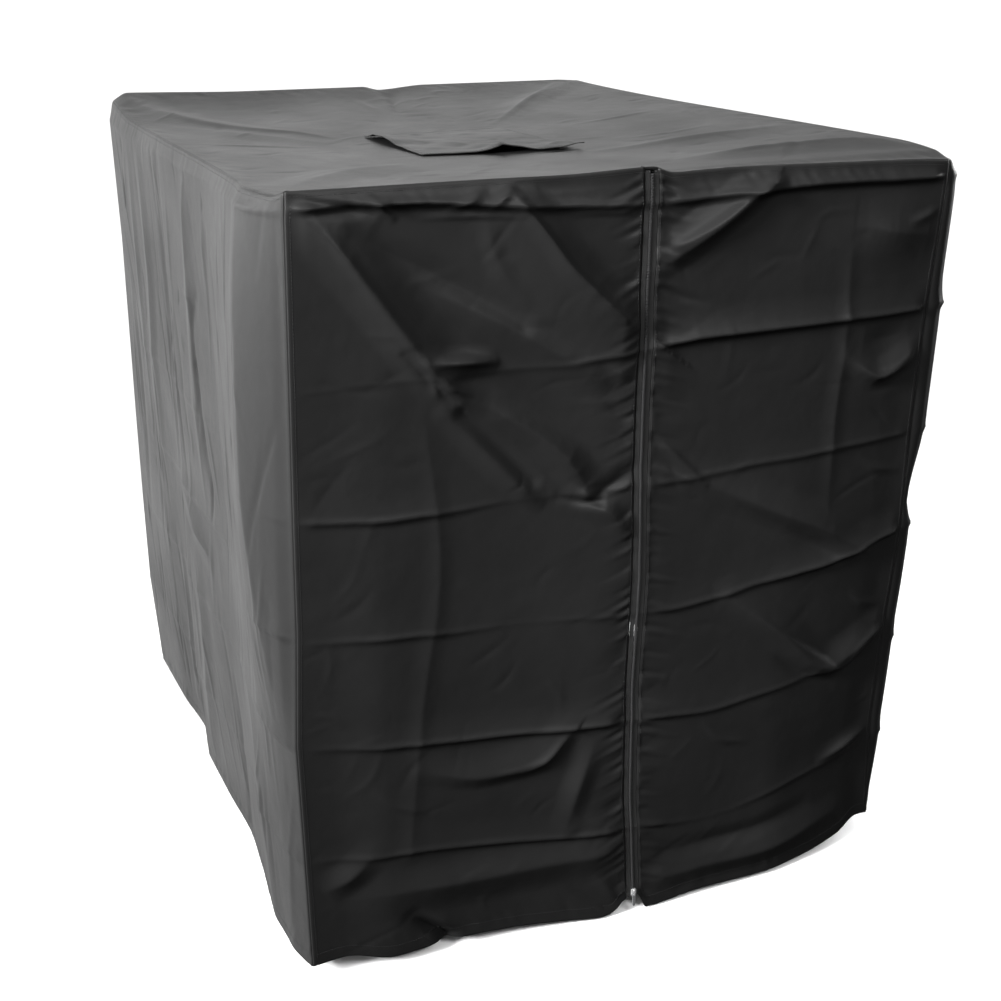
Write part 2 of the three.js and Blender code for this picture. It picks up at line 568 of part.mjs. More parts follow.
// A strip of the zip that follows the front: its two edges beside the zip line, how far its face is
// sunk behind the cloth's, and the heights between which it runs.
function zipStrip(name, finish, offsets, sink, thick, ends) {
  const wall = WALLS.front;
  const outer = offsets.map((offset) => {
    const uAt = besideZip(offset);
    const rows = rowFractions(wall, uAt, false, CLOSE_ROWS);
    const heights = rows.map((v) => patchPoint(wall, uAt(v), v).z);
    const [low, high] = [ends.low ?? heights[0], ends.high ?? heights[rows.length - 1]];
    const inside = rows.filter((v, j) => heights[j] > low + 3 && heights[j] < high - 3);
    const fractionOf = (z) => (z - heights[0]) / (heights[rows.length - 1] - heights[0]);
    return [fractionOf(low), ...inside, fractionOf(high)].map((v) => {
      const point = wallPoint(wall, uAt(v), v).addScaledVector(Y, sink);
      return v === 1 ? point.addScaledVector(Z, -sink - SEAM_GAP) : point;
    });
  });
  const last = outer[0].length - 1;
  const inner = outer.map((column) => column.map((point, j) => point.clone()
    .addScaledVector(Y, thick).addScaledVector(Z, j === last && !ends.high ? -thick : 0)));
  return sheet(name, finish, outer, inner, false);
}

function topPanel() {
  const breaks = (a, b) => [...new Set([...breaksOf(a), ...breaksOf(b)])];
  const [left, right] = [TOP.start[0].point.x, TOP.end[0].point.x];
  const [front, back] = [TOP.low[0].point.y, TOP.high[0].point.y];
  const holeX = OPENING.x.map((x) => (x - left) / (right - left));
  const holeY = OPENING.y.map((y) => (y - front) / (back - front));
  const us = divide([...breaks(TOP.low, TOP.high), ...holeX].sort((a, b) => a - b), 0.055);
  const vs = divide([...breaks(TOP.start, TOP.end), ...holeY].sort((a, b) => a - b), 0.05);
  const outer = us.map((u) => vs.map((v) => topPoint(u, v)));
  const normals = gridNormals(outer, false);
  const inner = outer.map((column, i) => column.map((point, j) => {
    const [u, v] = [us[i], vs[j]];
    const inward = normals[i][j].clone().negate();
    if (u === 0) inward.copy(edgeInward(WALLS.left, v));
    if (u === 1) inward.copy(edgeInward(WALLS.right, v));
    if (v === 0) inward.copy(edgeInward(WALLS.front, u));
    if (v === 1) inward.copy(edgeInward(WALLS.back, u));
    point.x += SEAM_GAP * (Number(u === 0) - Number(u === 1));
    point.y += SEAM_GAP * (Number(v === 0) - Number(v === 1));
    return point.clone().addScaledVector(inward, CLOTH);
  }));
  const within = (value, [low, high]) => value > low && value < high;
  const isHole = (i, j) => within((us[i] + us[i + 1]) / 2, holeX) && within((vs[j] + vs[j + 1]) / 2, holeY);
  return sheet('top_panel', CLOTH_FINISH, outer, inner, false, isHole);
}

// The flap follows the top panel, is sewn to it along its back edge, and lifts along the others.
function topFlap() {
  const [left, right] = [TOP.start[0].point.x, TOP.end[0].point.x];
  const [front, back] = [TOP.low[0].point.y, TOP.high[0].point.y];
  const steps = divide([0, 1], 0.12);
  const outer = steps.map((across) => steps.map((depth) => {
    const u = (mix(FLAP.x[0], FLAP.x[1], across) - left) / (right - left);
    const v = (mix(FLAP.y[0] + FLAP.askew * across, FLAP.y[1], depth) - front) / (back - front);
    const lift = FLAP_LIFTS.reduce((sum, row) => {
      const away = Math.hypot(across - row.across, (depth - row.back) * 0.8) / row.reach;
      return sum + row.lift * (1 - easing(clamp(away)));
    }, 0);
    const loose = clamp((1 - depth) * 6);
    return topPoint(u, v).addScaledVector(Z, FLAP_GAP + CLOTH + (lift + 1.2) * loose);
  }));
  const inner = outer.map((column) => column.map((point) => point.clone().addScaledVector(Z, -CLOTH)));
  return sheet('top_flap', CLOTH_FINISH, outer, inner, false);
}

// Solids that are joined from simple blocks.
function solidOf(geometry) {
  const plain = geometry.index ? geometry.toNonIndexed() : geometry.clone();
  plain.deleteAttribute('normal');
  plain.deleteAttribute('uv');
  const merged = mergeVertices(plain, 1e-5);
  const mesh = new wasm.Mesh({
    numProp: 3,
    vertProperties: new Float32Array(merged.attributes.position.array),
    triVerts: new Uint32Array(merged.index.array),
  });
  return new wasm.Manifold(mesh);
}

function geometryOf(solid) {
  const { vertProperties, triVerts } = solid.getMesh();
  const geometry = new THREE.BufferGeometry();
  geometry.setAttribute('position', new THREE.Float32BufferAttribute(vertProperties, 3));
  geometry.setIndex(new THREE.Uint32BufferAttribute(triVerts, 1));
  geometry.computeVertexNormals();
  return geometry;
}

const block = (width, depth, height, x, y, z) => new THREE.BoxGeometry(width, depth, height).translate(x, y, z);

// A plate with rounded ends, standing in the X-Z plane.
function roundedPlate(width, height, thick, x, y, z) {
  const radius = width * 0.3;
  const [halfWidth, halfHeight] = [width / 2, height / 2];
  const outline = new THREE.Shape();
  outline.moveTo(-halfWidth + radius, -halfHeight);
  outline.lineTo(halfWidth - radius, -halfHeight);
  outline.absarc(halfWidth - radius, -halfHeight + radius, radius, -Math.PI / 2, 0);
  outline.absarc(halfWidth - radius, halfHeight - radius, radius, 0, Math.PI / 2);
  outline.absarc(-halfWidth + radius, halfHeight - radius, radius, Math.PI / 2, Math.PI);
  outline.absarc(-halfWidth + radius, -halfHeight + radius, radius, Math.PI, Math.PI * 1.5);
  return new THREE.ExtrudeGeometry(outline, { depth: thick, bevelEnabled: false, curveSegments: 4 })
    .translate(0, 0, -thick / 2).rotateX(Math.PI / 2).translate(x, y, z);
}

// The slider: a plate before the chain and one behind it, joined by a post below the chain's end, and
// a bridge on the front plate that carries the pull tab. Its own origin is on the cloth's face.
const PLATE_FACE = -(ZIP.chainProud + 0.3 + SLIDER.plate);   // the front plate's front face

function zipSlider() {
  const { width, height, plate, back, post, postHigh } = SLIDER;
  const plateBack = PLATE_FACE + plate;
  const backFace = -ZIP.chainProud + ZIP.chainThick + 0.3;
  const { width: bridgeWidth, bar, slot, low, high, root } = BRIDGE;
  const parts = [
    roundedPlate(width, height, plate, 0, PLATE_FACE + plate / 2, 0),
    roundedPlate(width, height, back, 0, backFace + back / 2, 0),
    block(post, backFace - plateBack + 1, postHigh, 0, (backFace + plateBack) / 2, (postHigh - height) / 2 + 1),
    block(bridgeWidth, bar, high - low, 0, PLATE_FACE - slot - bar / 2, (high + low) / 2),
    block(bridgeWidth, slot + bar + 0.5, root, 0, PLATE_FACE - (slot + bar) / 2 + 0.25, high - root / 2),
    block(bridgeWidth, slot + bar + 0.5, root, 0, PLATE_FACE - (slot + bar) / 2 + 0.25, low + root / 2),
  ];
  const solid = parts.map(solidOf).reduce((joined, part) => joined.add(part));
  const mesh = new THREE.Mesh(geometryOf(solid), SLIDER_FINISH);
  mesh.name = 'zip_slider';
  return mesh;
}

// The pull tab hangs in the bridge by the bar above its eye.
function zipPull() {
  const { width, length, thick, head, eyeHalf, eyeLong, clear } = PULL;
  const eyeTop = BRIDGE.low + BRIDGE.root + clear;
  const top = eyeTop + head;
  const foot = top - length;
  const outline = new THREE.Shape();
  outline.moveTo(-width / 2, top - 1.5);
  outline.lineTo(-width * 0.36, foot + 2);
  outline.absarc(0, foot + 2, width * 0.36, Math.PI, Math.PI * 2);
  outline.lineTo(width / 2, top - 1.5);
  outline.lineTo(width / 2 - 1.5, top);
  outline.lineTo(-width / 2 + 1.5, top);
  outline.closePath();
  const eye = new THREE.Path();
  eye.moveTo(-eyeHalf, eyeTop);
  eye.lineTo(-eyeHalf, eyeTop - eyeLong);
  eye.lineTo(eyeHalf, eyeTop - eyeLong);
  eye.lineTo(eyeHalf, eyeTop);
  eye.closePath();
  outline.holes.push(eye);
  const geometry = new THREE.ExtrudeGeometry(outline, { depth: thick, bevelEnabled: false, curveSegments: 6 });
  geometry.translate(0, 0, -thick / 2).rotateX(Math.PI / 2).translate(0, PLATE_FACE - BRIDGE.slot / 2, 0);
  const mesh = new THREE.Mesh(geometryOf(solidOf(geometry)), PULL_FINISH);
  mesh.name = 'zip_pull';
  return mesh;
}

// Slider and pull sit on the front at the foot of the chain and lean with the cloth there.
function sliderGroup() {
  const wall = WALLS.front;
  const [low, high] = [pointOn(wall.low, ZIP_LINE.hem).z, pointOn(wall.high, ZIP_LINE.top).z];
  const at = (z) => {
    const v = (z - low) / (high - low);
    return wallPoint(wall, zipAt(v), v);
  };
  const place = at(SLIDER.z);
  const above = at(SLIDER.z + SLIDER.height);
  const group = new THREE.Group();
  group.add(zipSlider(), zipPull());
  group.position.copy(place);
  group.rotation.x = -Math.atan2(above.y - place.y, above.z - place.z);
  return group;
}

const group = new THREE.Group();
group.add(
  topPanel(),
  topFlap(),
  frontPanel('front_left_panel', -1),
  frontPanel('front_right_panel', 1),
  sideWall('left_wall', WALLS.left, CELL / 1190, CLOSE_ROWS),
  sideWall('right_wall', WALLS.right, BACK_CELL / 1190, WIDE_ROWS),
  sideWall('back_wall', WALLS.back, BACK_CELL / 1000, WIDE_ROWS),
  zipStrip('zip_tape_left', TAPE_FINISH, [-ZIP.tapeOuter, -ZIP.tapeInner], ZIP.tapeSink, ZIP.tapeThick, {}),
  zipStrip('zip_tape_right', TAPE_FINISH, [ZIP.tapeInner, ZIP.tapeOuter], ZIP.tapeSink, ZIP.tapeThick, {}),
  zipStrip('zip_chain', CHAIN_FINISH, [-ZIP.chainHalf, ZIP.chainHalf], -ZIP.chainProud, ZIP.chainThick, CHAIN_END),
  sliderGroup(),
);
group.position.z = -TANK_TOP;

export default group;
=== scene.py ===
"""Looks of a fitted cloth cover for a 1000 litre water tank.

The cloth panels are drawn again as fine sheets on the folds of the solids, a few of them moved or made
stronger, with smaller creases, puckers, hems and stitches, and the zip gets its coil. The tables are in
millimetres, with z from the level of the hem, as in the part's own source. Everything is turned to
metres at the end.
"""

import math

import bpy
import numpy as np
from bpy.props import FloatProperty, FloatVectorProperty, PointerProperty
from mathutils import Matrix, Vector


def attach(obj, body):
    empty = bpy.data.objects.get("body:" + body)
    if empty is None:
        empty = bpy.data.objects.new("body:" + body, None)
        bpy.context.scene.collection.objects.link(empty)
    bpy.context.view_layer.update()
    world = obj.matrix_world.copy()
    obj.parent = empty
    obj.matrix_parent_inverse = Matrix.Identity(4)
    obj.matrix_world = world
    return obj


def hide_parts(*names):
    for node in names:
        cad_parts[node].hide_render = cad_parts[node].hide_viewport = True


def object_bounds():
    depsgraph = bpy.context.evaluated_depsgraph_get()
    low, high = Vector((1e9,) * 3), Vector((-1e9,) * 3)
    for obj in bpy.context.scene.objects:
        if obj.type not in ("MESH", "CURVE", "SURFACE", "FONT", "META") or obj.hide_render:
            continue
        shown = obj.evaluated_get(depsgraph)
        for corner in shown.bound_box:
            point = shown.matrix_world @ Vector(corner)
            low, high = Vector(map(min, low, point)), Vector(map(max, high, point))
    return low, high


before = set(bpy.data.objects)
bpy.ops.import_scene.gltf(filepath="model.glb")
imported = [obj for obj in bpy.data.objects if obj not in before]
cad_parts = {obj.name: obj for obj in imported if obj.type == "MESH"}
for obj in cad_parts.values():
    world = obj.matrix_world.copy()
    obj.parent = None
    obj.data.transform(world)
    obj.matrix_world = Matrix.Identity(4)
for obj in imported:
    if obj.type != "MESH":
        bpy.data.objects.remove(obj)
CAD_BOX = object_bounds()

bl_info = {
    "name": "Water tank cover",
    "version": (1, 0, 0),
    "blender": (4, 5, 0),
    "location": "3D View > Sidebar > Tank cover",
    "description": "Draws the cover's cloth, seams and zip on its solids, and sets up a studio",
    "category": "Object",
}

# The tank's top above the hem. The origin is the middle of the tank's top.
TANK_TOP = 1130

# The top: its size between the seams, its length along the slack cloth, how far it sags and how round the
# sag is, and the share of it over which the uneven heights of its seams die away.
TOP_WIDTH, TOP_LENGTH, TOP_CLOTH_LENGTH = 1030, 1200, 1205
TOP_SAG, SAG_ROUND, KINK_REACH = 20, 0.8, 0.12

# The walls: the front's width, a wall's height between hem and seam, and its height along the cloth.
FRONT_WIDTH, WALL_HEIGHT, WALL_CLOTH_HEIGHT = 1013, 1163, 1165

# A first guess of the front's hem and of its height above it.
FRONT_HEM, FRONT_RISE = -2, 1162

# Distances over which folds die away: from a corner seam, where the right wall turns the front corner,
# below a top seam, and beside the zip, where they keep the share ZIP_CALM. On the top itself they die away
# over the outermost of this many parts.
FADE_SIDE, FADE_WRAP, FADE_TOP, FADE_ZIP, ZIP_CALM, FADE_PARTS = 30, 9, 24, 45, 0.2, 20

# The folds of the walls waver by this much, over cells of this length and height.
WAVER, WAVER_CELL = 2.2, (70, 260)

# The filler opening in the top panel and the flap over it. The flap's front edge is askew, it lies above
# the top by its rise, and it lifts off beyond the last of hinge_parts parts of its depth. Its lifts reach
# farther along it than across it, by the squash.
OPENING = {"x": (-136, 52), "y": (-138, 50)}
FLAP = {"x": (-163, 92), "y": (-182, 95), "askew": -52, "rise": 2.8, "thickness": 1.4, "hinge_parts": 6,
        "squash": 0.8}
FLAP_GRID = (90, 100)

# The flap's ridge, as a fold, and its crumples: height, a cell's width and length, and seed.
FLAP_RIDGE = ("sharp", 26, 18, [(-38, -200, 5), (-52, -130, 4), (-74, -60, 1)])
FLAP_CRUMPLES = ((1.2, 38, 30, 8), (0.5, 15, 19, 9))

# The zip: its line across the front as a fraction, and half widths from that line.
ZIP_TOP, ZIP_HEM = 0.505, 0.517
ZIP_EDGE, TAPE_OUTER, TAPE_INNER, CHAIN_HALF = 11, 10.7, 3.15, 2.85

# The heights between which the coil's chain and the tapes run, and the steps of their sheets.
CHAIN_ENDS, TAPE_ENDS = (26, 1156), (14, 1160)
CORE_STEPS, TAPE_STEPS = 400, 480

# How far the tapes, their ribs and the coil's core lie behind the front, and the coil's turns before it.
TAPE_SINK, RIB_SINK, RIB_WIDTH, CORE_SINK, COIL_SINK = 0.8, 0.12, 0.9, 0.35, -0.2

# A turn of the coil: how far it is shifted to its side by turns, its length, overlap and thickness.
COIL_SHIFT, COIL_LENGTH, COIL_OVERLAP, COIL_THICKNESS = 0.45, 5.6, 1.05, 1.9

# The stitches: their thickness, how far they stand out, and the distance of each row from its edge.
THREAD_WIDTH, THREAD_HEIGHT, THREAD_OUT = 0.7, 0.6, 0.15
HEM_DEPTH, SEAM_DEPTH, ZIP_ROW = 20, 8, 15.5

# Rows given as fractions: from a corner seam, from the flap's edges, and along the flap to its back seam.
CORNER_ROW, FLAP_ROW, FLAP_BACK_ROW = 0.008, 0.026, 0.975

# Where the rows along the walls, the corners, the zip and the flap start and end, as fractions, and the
# steps that each is taken in.
WALL_SPAN, CORNER_SPAN, ZIP_SPAN, FLAP_SPAN = (
    (0.004, 0.996, 1500), (0.01, 0.99, 1500), (0.012, 0.99, 1500), (0.02, 0.98, 400))

# The hem's row stops this far from the zip. A longer step than ROW_GAP along a row holds no stitches.
ZIP_GAP, ROW_GAP = 14, 12

# The step, as a fraction, over which a surface's slope under a stitch is taken.
SLOPE_STEP = 0.002

# A seam draws the cloths in, and its allowance runs inside. The hem's cloth is turned up inside, from
# its foot to its turn, and is rounded at the edge.
SEAM_TURN, ALLOWANCE = 1.6, 9
HEM_TURN, HEM_FOOT, HEM_INSIDE, HEM_ROUND = 24, 2, 1.6, 0.6

# Gathers where thread pulls the cloth, at the hem and below the top seams: their height and length, how
# their bands reach, and the share they have at the top.
GATHER = {"height": 0.9, "length": 11, "rise": 60, "slant": 0.05, "edge": 12, "hem": 16,
          "seam": 18, "seam_depth": 16, "seam_share": 0.5}

# Gathers beside the zip run out from its edge, and their reach is ragged along it.
ZIP_GATHER = {"height": 2.3, "length": 8.5, "slant": 0.35, "start": 12, "swell": 6, "reach": 20,
              "ragged": 16, "ragged_length": 15, "fullness": 0.6, "least": 9}

# Gathers round the top's edge.
TOP_GATHER = {"height": 0.9, "length": 13, "width": 40, "slant": 0.7, "edge": 12, "seam": 20,
              "seam_depth": 16, "seed": 5}

# Each packing fold slopes out softly above its crest and steps in sharply below it.
CREASE_ABOVE, CREASE_BELOW = 46, 11

# The coating keeps a sharper bend along the fold itself: its reach above and below, its height, and the
# share of the height that it has where the fold is flat.
PINCH, PINCH_LIFT, PINCH_START, PINCH_GROWTH = (9, 6), 1.7, 0.2, 0.25

# Short creases strewn over the cloth: the spread of their slopes in radians, the shortest and longest
# half, the spread of their middles, and ranges of lift, width and the other side's share of the width.
STREWN = {"stray": 0.55, "shortest": 16, "longest": 62, "bend": 7, "lift": (0.5, 1.7), "width": (7, 17),
          "other_side": (0.7, 1.6)}

# How many are strewn, and the two corners of their field.
STREWN_ON_WALL = (150, (-560, 20), (560, 1140))
STREWN_ON_TOP = (130, (-480, -570), (480, 570))

# Packing folds cross the walls at these fractions of the height.
LEVELS = [0, 0.165, 0.33, 0.48, 0.625, 0.78, 0.97, 1]

# The corner seams: the heights of their ends, and x and y at each of LEVELS.
CORNERS = {
  "front_left": {
    "low": 14, "high": 1163,
    "x": [-519, -523, -527, -519, -516, -512, -507, -505],
    "y": [-590, -594, -596, -597, -597, -598, -597, -597],
  },
  "front_right": {
    "low": 20, "high": 1148,
    "x": [494, 482, 489, 500, 499, 503, 513, 510],
    "y": [-586, -588, -591, -595, -595, -597, -604, -607],
  },
  "back_left": {
    "low": -18, "high": 1169,
    "x": [-498, -509, -509, -508, -506, -504, -507, -498],
    "y": [596, 603, 603, 603, 603, 604, 606, 606],
  },
  "back_right": {
    "low": -14, "high": 1174,
    "x": [496, 500, 503, 500, 502, 503, 505, 505],
    "y": [590, 598, 601, 601, 603, 605, 607, 608],
  },
}

# The seams round the top: the fraction of the way along, the place across it, and the height.
TOP_EDGES = {
  "front": [
    (0.08, -599, 1163),
    (0.26, -600, 1163),
    (0.37, -601, 1162),
    (0.505, -603, 1166),
    (0.54, -600, 1156),
    (0.64, -601, 1158),
    (0.8, -603, 1155),
    (0.94, -606, 1152),
  ],
  "back": [
    (0.03, 609, 1183),
    (0.08, 609, 1182),
    (0.26, 608, 1178),
    (0.505, 608, 1178),
    (0.54, 607, 1171),
    (0.64, 608, 1178),
    (0.94, 608, 1178),
  ],
  "left": [
    (0.03, -513, 1154),
    (0.11, -523, 1152),
    (0.17, -513, 1150),
    (0.29, -507, 1149),
    (0.67, -504, 1150),
    (0.84, -503, 1153),
  ],
  "right": [
    (0.008, 521, 1148),
    (0.04, 521, 1158),
    (0.11, 517, 1165),
    (0.29, 510, 1167),
    (0.67, 505, 1168),
    (0.84, 505, 1170),
  ],
}

# The hems, in the same form.
HEMS = {
  "front": [
    (0.05, -592, 18),
    (0.13, -603, 2),
    (0.21, -603, 5),
    (0.3, -607, 2),
    (0.4, -618, -6),
    (0.476, -628, -12),
    (0.4985, -628, 9),
    (0.524, -628, 15),
    (0.542, -629, -14),
    (0.642, -630, -6),
    (0.757, -630, -8),
    (0.84, -620, -5),
    (0.927, -602, 6),
    (0.975, -588, 22),
  ],
  "left": [
    (0.02, -524, 11),
    (0.06, -531, 8),
    (0.12, -531, 6),
    (0.26, -514, 2),
    (0.36, -504, 0),
    (0.48, -507, -3),
    (0.6, -507, -6),
    (0.64, -491, -4),
    (0.7, -489, -5),
    (0.82, -496, -11),
  ],
  "right": [
    (0.1, 500, 8),
    (0.3, 513, -2),
    (0.5, 504, -4),
    (0.7, 516, -5),
    (0.9, 503, -10),
  ],
  "back": [
    (0.1, 603, -12),
    (0.28, 615, -8),
    (0.5, 603, -3),
    (0.72, 617, -5),
    (0.9, 602, -10),
  ],
}

# The packing folds round each wall, from the lowest: the place along the wall, height and lift.
CREASES = {
  "front": [
    [(-515, 199, 0), (-332, 178, 4), (-114, 152, 6), (1, 143, 4), (140, 126, 0), (313, 152, 2),
      (475, 171, 0)],
    [(-520, 387, 0), (-344, 360, 5), (-117, 341, 7), (0, 334, 6), (130, 321, 3), (298, 334, 2),
      (489, 352, 0)],
    [(-515, 551, 0), (-366, 534, 3), (-185, 523, 0), (49, 507, 3), (191, 518, 3), (358, 535, 10),
      (482, 560, 9)],
    [(-510, 728, 2), (-366, 711, 4), (-171, 715, 0), (0, 708, 2), (134, 715, 2), (341, 719, 3),
      (483, 723, 2)],
    [(-510, 905, 0), (-150, 905, 1), (0, 912, 6), (97, 922, 11), (303, 922, 9), (400, 923, 7),
      (487, 925, 6)],
    [(-500, 1143, 11), (-346, 1140, 11), (-198, 1127, 9), (19, 1115, 7), (144, 1121, 9), (307, 1126, 11),
      (510, 1127, 9)],
  ],
  "left": [
    [(-590, 195, 2), (-300, 185, 1), (0, 180, 1), (300, 180, 1), (600, 185, 0)],
    [(-590, 385, 3), (-300, 378, 1), (0, 375, 1), (300, 372, 1), (600, 378, 0)],
    [(-590, 555, 3), (-300, 552, 1), (0, 550, 2), (300, 556, 1), (600, 560, 0)],
    [(-590, 728, 1), (-300, 728, 0), (0, 725, 1), (300, 730, 1), (600, 728, 0)],
    [(-590, 915, 0), (-300, 915, 0), (0, 918, 1), (300, 920, 0), (600, 915, 0)],
    [(-590, 1135, 2), (-300, 1122, 1), (0, 1122, 2), (300, 1124, 1), (600, 1130, 1)],
  ],
  "right": [
    [(-590, 175, 2), (-100, 182, 3), (300, 178, 3), (600, 184, 0)],
    [(-590, 355, 2), (-100, 368, 4), (300, 372, 3), (600, 380, 0)],
    [(-590, 560, 4), (-100, 552, 4), (300, 556, 3), (600, 560, 0)],
    [(-590, 723, 2), (-100, 726, 3), (300, 730, 4), (600, 728, 0)],
    [(-590, 925, 5), (-100, 918, 4), (300, 914, 3), (600, 915, 0)],
    [(-590, 1124, 5), (-100, 1122, 4), (300, 1124, 4), (600, 1130, 2)],
  ],
  "back": [
    [(-500, 184, 0), (-100, 180, 3), (250, 186, 2), (500, 184, 0)],
    [(-500, 378, 0), (-100, 370, 4), (250, 376, 3), (500, 378, 0)],
    [(-500, 560, 0), (-100, 552, 3), (250, 558, 4), (500, 560, 0)],
    [(-500, 728, 0), (-100, 732, 4), (250, 724, 3), (500, 728, 0)],
    [(-500, 915, 0), (-100, 910, 3), (250, 918, 4), (500, 915, 0)],
    [(-500, 1130, 3), (-100, 1124, 5), (250, 1128, 4), (500, 1130, 3)],
  ],
}

# The other folds of each wall: how the fold falls from its crest, its reach to the left and right of
# its line, and the line's points: the place along the wall, height and lift.
FOLDS = {
  "front": [
    # the tension ridge from the top left corner down to the crumple, then its two branches
    ("soft", 60, 42, [(-490, 1138, 3), (-419, 1056, 12), (-340, 945, 13), (-290, 880, 5)]),
    ("soft", 34, 34, [(-290, 890, 3), (-118, 766, 10), (-90, 725, 3)]),
    ("soft", 26, 26, [(-295, 850, 2), (-194, 738, 6), (-150, 700, 0)]),
    ("sharp", 26, 26, [(-325, 928, 2), (-270, 922, 8), (-220, 917, 0)]),
    # the second tension ridge, broad on its lower left side, ending at the zip
    ("soft", 44, 130, [(-213, 1150, 3), (-151, 1082, 10), (-66, 988, 14), (0, 938, 9)]),
    ("soft", 30, 34, [(-330, 1030, 0), (-200, 960, 6), (-81, 884, 4), (-50, 860, 0)]),
    ("soft", 26, 26, [(-110, 705, 2), (-60, 680, 7), (-5, 630, 3)]),
    ("sharp", 26, 26, [(-69, 704, -5), (-5, 737, -4)]),
    # lower left: a curved shelf under a packing fold, a short drape and the bellied hem
    ("soft", 48, 24, [(-360, 318, 0), (-237, 284, 7), (-157, 294, 7), (-112, 330, 3)]),
    ("soft", 30, 30, [(-66, 316, 0), (-95, 240, 6), (-113, 173, 2)]),
    ("soft", 46, 52, [(-422, 120, 2), (-280, 112, 9), (-91, 110, 8), (-10, 110, 2)]),
    ("soft", 34, 34, [(-498, 140, 0), (-460, 160, 7), (-424, 190, 2)]),
    ("soft", 26, 26, [(-362, 60, -3), (-305, 8, -9)]),
    # right of the zip: the ridge that climbs to the top seam, and the full cloth by the corner
    ("soft", 46, 26, [(20, 1025, 4), (122, 1082, 11), (205, 1140, 8)]),
    ("soft", 70, 70, [(350, 1060, 2), (420, 1050, 9), (490, 1040, 3)]),
    ("soft", 32, 26, [(360, 862, 2), (414, 828, 7), (490, 860, 4)]),
    ("soft", 40, 40, [(385, 890, 0), (430, 885, -4), (470, 890, 0)]),
    # two long diagonals that turn up to the right corner
    ("soft", 46, 32, [(90, 712, 2), (215, 645, 9), (330, 592, 10), (400, 545, 5)]),
    ("soft", 44, 32, [(159, 505, 3), (260, 425, 9), (360, 348, 11), (481, 392, 5)]),
    ("soft", 26, 26, [(350, 165, 0), (410, 180, 5), (472, 197, 1)]),
    ("soft", 40, 34, [(60, 40, 4), (250, 40, 8), (400, 60, 3)]),
    # upright packing creases
    ("sharp", 26, 26, [(345, 1110, 0), (349, 896, 2), (338, 743, 2), (338, 600, 0)]),
    ("sharp", 26, 26, [(-335, 900, 0), (-310, 640, 1.5), (-340, 420, 1.5), (-365, 175, 1)]),
  ],
  "left": [
    # the wall stands out behind the front corner in a long flat-sided ridge that runs into the seam
    ("flat", 300, 112, [(-462, 1150, 6), (-470, 1000, 20), (-480, 870, 25), (-490, 725, 27),
      (-520, 540, 17), (-565, 385, 0)]),
    ("sharp", 30, 34, [(158, 1143, -2), (172, 1000, -5), (173, 813, -6), (130, 700, 0)]),
    ("soft", 44, 44, [(-60, 1142, 0), (-40, 1051, 4), (-32, 860, 6), (-30, 700, 0)]),
    ("sharp", 30, 30, [(-85, 946, 0), (-40, 858, -5), (-60, 690, -5), (-110, 600, 0)]),
    ("soft", 40, 40, [(330, 1140, 0), (320, 900, 5), (345, 700, 4), (330, 480, 0)]),
    ("soft", 50, 46, [(110, 540, 3), (30, 505, 8), (-48, 480, 3)]),
    ("soft", 60, 60, [(60, 460, 0), (20, 300, 6), (60, 60, 3)]),
    ("soft", 60, 60, [(-330, 420, 0), (-400, 220, 6), (-440, 20, 3)]),
    ("sharp", 30, 30, [(150, 170, 0), (160, 80, -6), (165, -5, -8)]),
  ],
  "right": [
    # the wall's cloth turns the corner before it meets the front
    ("flat", 40, 420, [(-580, 1140, 8), (-590, 1100, 14), (-588, 960, 20),
      (-588, 900, 27), (-586, 740, 28), (-586, 602, 8), (-586, 540, 20), (-584, 440, 24), (-581, 217, 27),
      (-578, 31, 6)]),
    ("soft", 80, 80, [(-120, 1120, 0), (-140, 700, 8), (-90, 300, 9), (-110, 0, 10)]),
    ("soft", 90, 90, [(290, 1120, 0), (270, 760, 6), (300, 350, 9), (280, 0, 8)]),
  ],
  "back": [
    ("soft", 90, 90, [(-210, 1120, 0), (-190, 700, 8), (-220, 300, 10), (-210, 0, 6)]),
    ("soft", 90, 90, [(220, 1120, 0), (240, 740, 7), (215, 340, 9), (235, 0, 7)]),
  ],
}

# The folds of the top, in the same form: x, y and lift.
TOP_FOLDS = [
  ("soft", 60, 60, [(-470, 560, 3), (-425, 424, 8), (-264, 141, 6), (-215, 90, 0)]),
  ("soft", 55, 55, [(-470, 330, 0), (-330, 130, 5), (-240, 20, 0)]),
  ("soft", 50, 50, [(470, 570, 2), (290, 395, 7), (156, 224, 1)]),
  ("soft", 60, 60, [(-480, -520, 2), (-370, -390, 7), (-225, -280, 0)]),
  ("soft", 50, 70, [(500, -505, 5), (392, -480, 10), (250, -468, 8), (120, -465, 1)]),
  ("soft", 55, 55, [(490, -240, 1), (300, -255, 6), (150, -275, 1)]),
  ("sharp", 50, 50, [(55, 590, -5), (15, 400, -4), (2, 290, 0)]),
]

# Where the flap stands up: the place across and along it as fractions, the height and the reach.
FLAP_LIFTS = [
  (0, 0.72, 8, 0.32),
  (0.52, 0, 8, 0.2),
  (1, 0, 6, 0.3),
]

